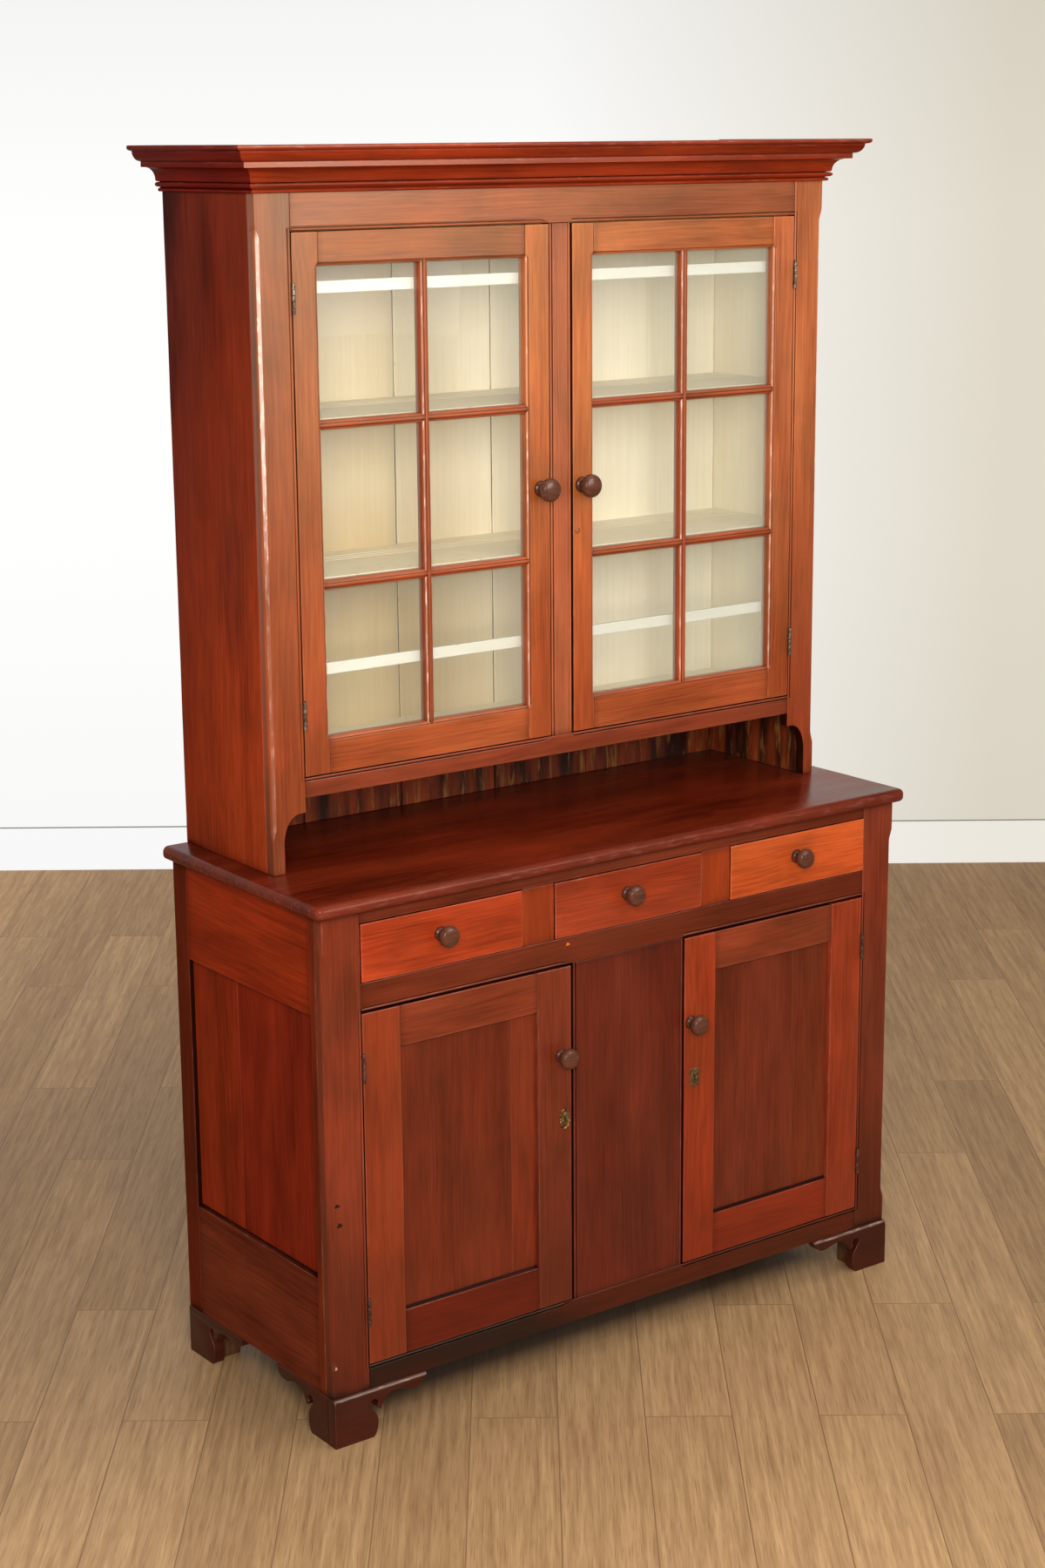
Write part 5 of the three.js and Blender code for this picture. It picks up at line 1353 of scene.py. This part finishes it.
FOCAL_PX = 3090.88
PHOTO_HEIGHT_PX = 1800
SENSOR = 36.0
AZIMUTH = np.radians(36.5413)
ELEVATION = np.radians(13.5765)
ROLL = np.radians(-0.4651)
EYE = np.array([-2.83946, -3.52191, 2.14729]) + [0, BASE_FRONT, 0]
AHEAD = np.array([np.sin(AZIMUTH), np.cos(AZIMUTH), 0])
SIDEWAYS = np.array([np.cos(AZIMUTH), -np.sin(AZIMUTH), 0])
UPWARD = np.array([0, 0, 1])
WALL_FROM_EYE = 7.85
WALL_FOOT = EYE * [1, 1, 0] + WALL_FROM_EYE * AHEAD
ROOM_HALF = 9.0
ROOM_HEIGHT = 6
SKIRTING_HEIGHT = 130 * MM
SKIRTING_THICK = 15 * MM
PLANK_LENGTH = 1.22
PLANK_WIDTH = 0.15
PLANK_SEAM = 1.1 * MM
UNDER_SHADOW_EDGE = (105 * MM, 40 * MM)


def camera():
    data = bpy.data.cameras.new("photo_view")
    data.sensor_width = SENSOR
    data.lens = FOCAL_PX * SENSOR / PHOTO_HEIGHT_PX
    forward = np.cos(ELEVATION) * AHEAD - np.sin(ELEVATION) * UPWARD
    above = np.cross(SIDEWAYS, forward)
    right = np.cos(ROLL) * SIDEWAYS + np.sin(ROLL) * above
    up = np.cos(ROLL) * above - np.sin(ROLL) * SIDEWAYS
    bpy.context.scene.camera = placed("photo_view", data, right, up, -forward, EYE)


def softbox(name, place, aim, width, height, power, colour):
    data = bpy.data.lights.new(name, "AREA")
    data.shape = "RECTANGLE"
    data.size, data.size_y = width, height
    data.energy = power
    data.color = linear(colour)[:3]
    away = np.subtract(place, aim)
    away = away / np.linalg.norm(away)
    across = np.cross(UPWARD, away)
    across /= np.linalg.norm(across)
    return placed(name, data, across, np.cross(away, across), away, place)


def backdrop(name, base, step, material):
    """A flat sheet as wide as the room, standing or lying on its base line."""
    left, right = base - ROOM_HALF * SIDEWAYS, base + ROOM_HALF * SIDEWAYS
    mesh = bpy.data.meshes.new(name)
    mesh.from_pydata([tuple(p) for p in (left, right, right + step, left + step)], [], [(0, 1, 2, 3)])
    mesh.materials.append(material)
    placed(name, mesh)


def floor_boards():
    """Oak floor boards with long soft streaks, running towards the wall, with painted light that makes them
    paler at the far left and at the front, and a painted shadow under the cupboard.
    """
    nodes = Finish("oak_floor")
    place = nodes.place()
    room = nodes.turned(place, (0, 0, AZIMUTH - np.pi / 2))
    planks = nodes.add("TexBrick", {
        "Vector": room, "Color1": (0, 0, 0, 1), "Color2": (1, 1, 1, 1), "Mortar": (0.5, 0.5, 0.5, 1),
        "Scale": 1.0, "Mortar Size": PLANK_SEAM, "Brick Width": PLANK_LENGTH, "Row Height": PLANK_WIDTH,
    }, offset=0.37).outputs
    run = nodes.vector("MULTIPLY", room, (4.0, 90.0, 1.0))
    apart = nodes.vector("MULTIPLY_ADD", planks["Color"], (40.0, 40.0, 40.0), run)
    streaks = nodes.noise(apart, 1.0, 8.0, Roughness=0.68)
    oak = nodes.mix(nodes.ramp(streaks, 0.22, 0.78), "#86633F", "#C8A274")
    pores = nodes.noise(room, (14.0, 480.0, 1.0), 4.0)
    oak = nodes.mix(nodes.ramp(pores, 0.52, 0.7, 0.0, 0.5), oak, "#6A4C30")
    lighter = nodes.mix(planks["Color"], "#DEDAD4", "#FFFFFF")
    oak = nodes.mix(1.0, oak, lighter, blend_type="MULTIPLY")
    oak = nodes.mix(planks["Fac"], oak, "#7A5A3C")
    away, across = nodes.axes(room)[:2]
    wall = float(np.dot(WALL_FOOT, AHEAD))
    # Painted light: paler towards the far left by the wall and just in front of the cupboard
    far = nodes.ramp(away, wall - 2.45, wall - 0.25)
    left = nodes.ramp(across, -1.1, 1.3, 0.25, 1.0)
    floor_light = nodes.maths("MULTIPLY_ADD", nodes.maths("MULTIPLY", far, left), 0.5, 0.95)
    foot = float(np.dot((-BASE_HIGH[0], BASE_FRONT, 0), AHEAD))
    floor_light = nodes.maths("MULTIPLY", floor_light, nodes.ramp(away, foot - 0.35, foot + 0.1, 1.16, 1.0))
    oak = nodes.tinted(oak, floor_light)
    # A painted shadow: darker under the cupboard
    middle = (BASE_FRONT + BACK) / 2
    plan = ((0.0, BASE_HIGH[0] - 20 * MM), (middle, BACK - middle - 10 * MM))
    under_shadow = 1.0
    for position, (centre, half) in zip(nodes.axes(place), plan):
        off = nodes.maths("ABSOLUTE", nodes.maths("SUBTRACT", position, centre))
        share = nodes.ramp(off, half - UNDER_SHADOW_EDGE[0], half - UNDER_SHADOW_EDGE[1], 1.0, 0.0)
        under_shadow = nodes.maths("MULTIPLY", share, under_shadow)
    oak = nodes.mix(under_shadow, oak, nodes.tinted(oak, (0.22, 0.20, 0.18)))
    return nodes.surface({"Base Color": oak, "Roughness": 0.6})


def matte_white(name, left, right):
    """Flat white paint with painted shade that makes it a little darker to the right, low down and high up,
    that the camera and the reflections see as it is. It is clear from behind.
    """
    nodes = Finish(name)
    across, _, height = nodes.axes(nodes.turned(nodes.place(), (0, 0, AZIMUTH)))
    # Painted shade: darker to the right, low down and high up
    paint = nodes.mix(nodes.ramp(across, 0.0, 1.35), left, right)
    paint = nodes.tinted(paint, nodes.ramp(height, 0.1, 1.0, 0.94, 1.0))
    paint = nodes.tinted(paint, nodes.ramp(height, 1.9, 2.7, 1.0, 0.89))
    nodes.surface({"Base Color": paint, "Roughness": 0.9})
    path = nodes.add("LightPath").outputs
    seen = nodes.maths("MAXIMUM", path["Is Camera Ray"], path["Is Glossy Ray"])
    seen = nodes.maths("MAXIMUM", seen, path["Is Transmission Ray"])
    glow = nodes.add("Emission", {"Color": paint, "Strength": 1.0}).outputs[0]
    front = nodes.add("MixShader", {0: seen, 1: nodes.shader.outputs[0], 2: glow}).outputs[0]
    behind = nodes.add("NewGeometry").outputs["Backfacing"]
    clear = nodes.add("BsdfTransparent").outputs[0]
    shown = nodes.add("MixShader", {0: behind, 1: front, 2: clear}).outputs[0]
    nodes.tree.links.new(shown, nodes.output.inputs[0])
    return nodes.material


def studio():
    """A white room with an oak floor, lit by four soft lamps and a pale sky."""
    world = bpy.data.worlds.new("studio")
    bpy.context.scene.world = world
    world.use_nodes = True
    tree = world.node_tree
    tree.nodes.clear()
    background = add(tree, "Background", {"Color": linear("#FBFAF7"), "Strength": 0.34})
    add(tree, "OutputWorld", {0: background.outputs[0]})
    softbox("window_sheen", (1.5, -3.8, 2.3), (0, 0, 1.6), 1.7, 1.6, 110, "#FFF8EE").visible_diffuse = False
    softbox("window_fill", (1.3, -3.6, 3.0), (0, 0, 1.5), 1.7, 1.6, 28, "#FFF8EE").visible_glossy = False
    softbox("flash", (-2.7, -3.8, 2.5), (0, 0, 1.3), 1.8, 2.0, 246, "#FFFDF8")
    softbox("ceiling", (0.4, -1.2, 4.2), (0, 0, 1.0), 3.0, 3.0, 60, "#FFFDF8")

    ledge = Finish("skirting_shade").surface({"Base Color": linear("#9A9890"), "Roughness": 0.9})
    skirting_foot = WALL_FOOT - SKIRTING_THICK * AHEAD
    skirting_up = SKIRTING_HEIGHT * UPWARD
    # The darker right-hand colours of the skirting and the wall are painted shade
    white_skirting = matte_white("white_skirting", "#FFFFFF", "#F2EDE2")
    backdrop("floor", WALL_FOOT - 2 * ROOM_HALF * AHEAD, 2 * ROOM_HALF * AHEAD, floor_boards())
    backdrop("wall", WALL_FOOT, ROOM_HEIGHT * UPWARD, matte_white("white_wall", "#FFFFFE", "#E0D9C9"))
    backdrop("skirting", skirting_foot, skirting_up, white_skirting)
    backdrop("skirting_top", skirting_foot + skirting_up, SKIRTING_THICK * AHEAD, ledge)
    bpy.context.scene.view_settings.view_transform = "Standard"


camera()
studio()
base_face_frame()
base_sides()
counter()
feet()
knobs()
drawers()
lower_doors()
upper_face_frame()
upper_sides()
upper_back()
shelves()
cornice()
upper_doors()
hinges()
escutcheons()
repairs()
carried_over()
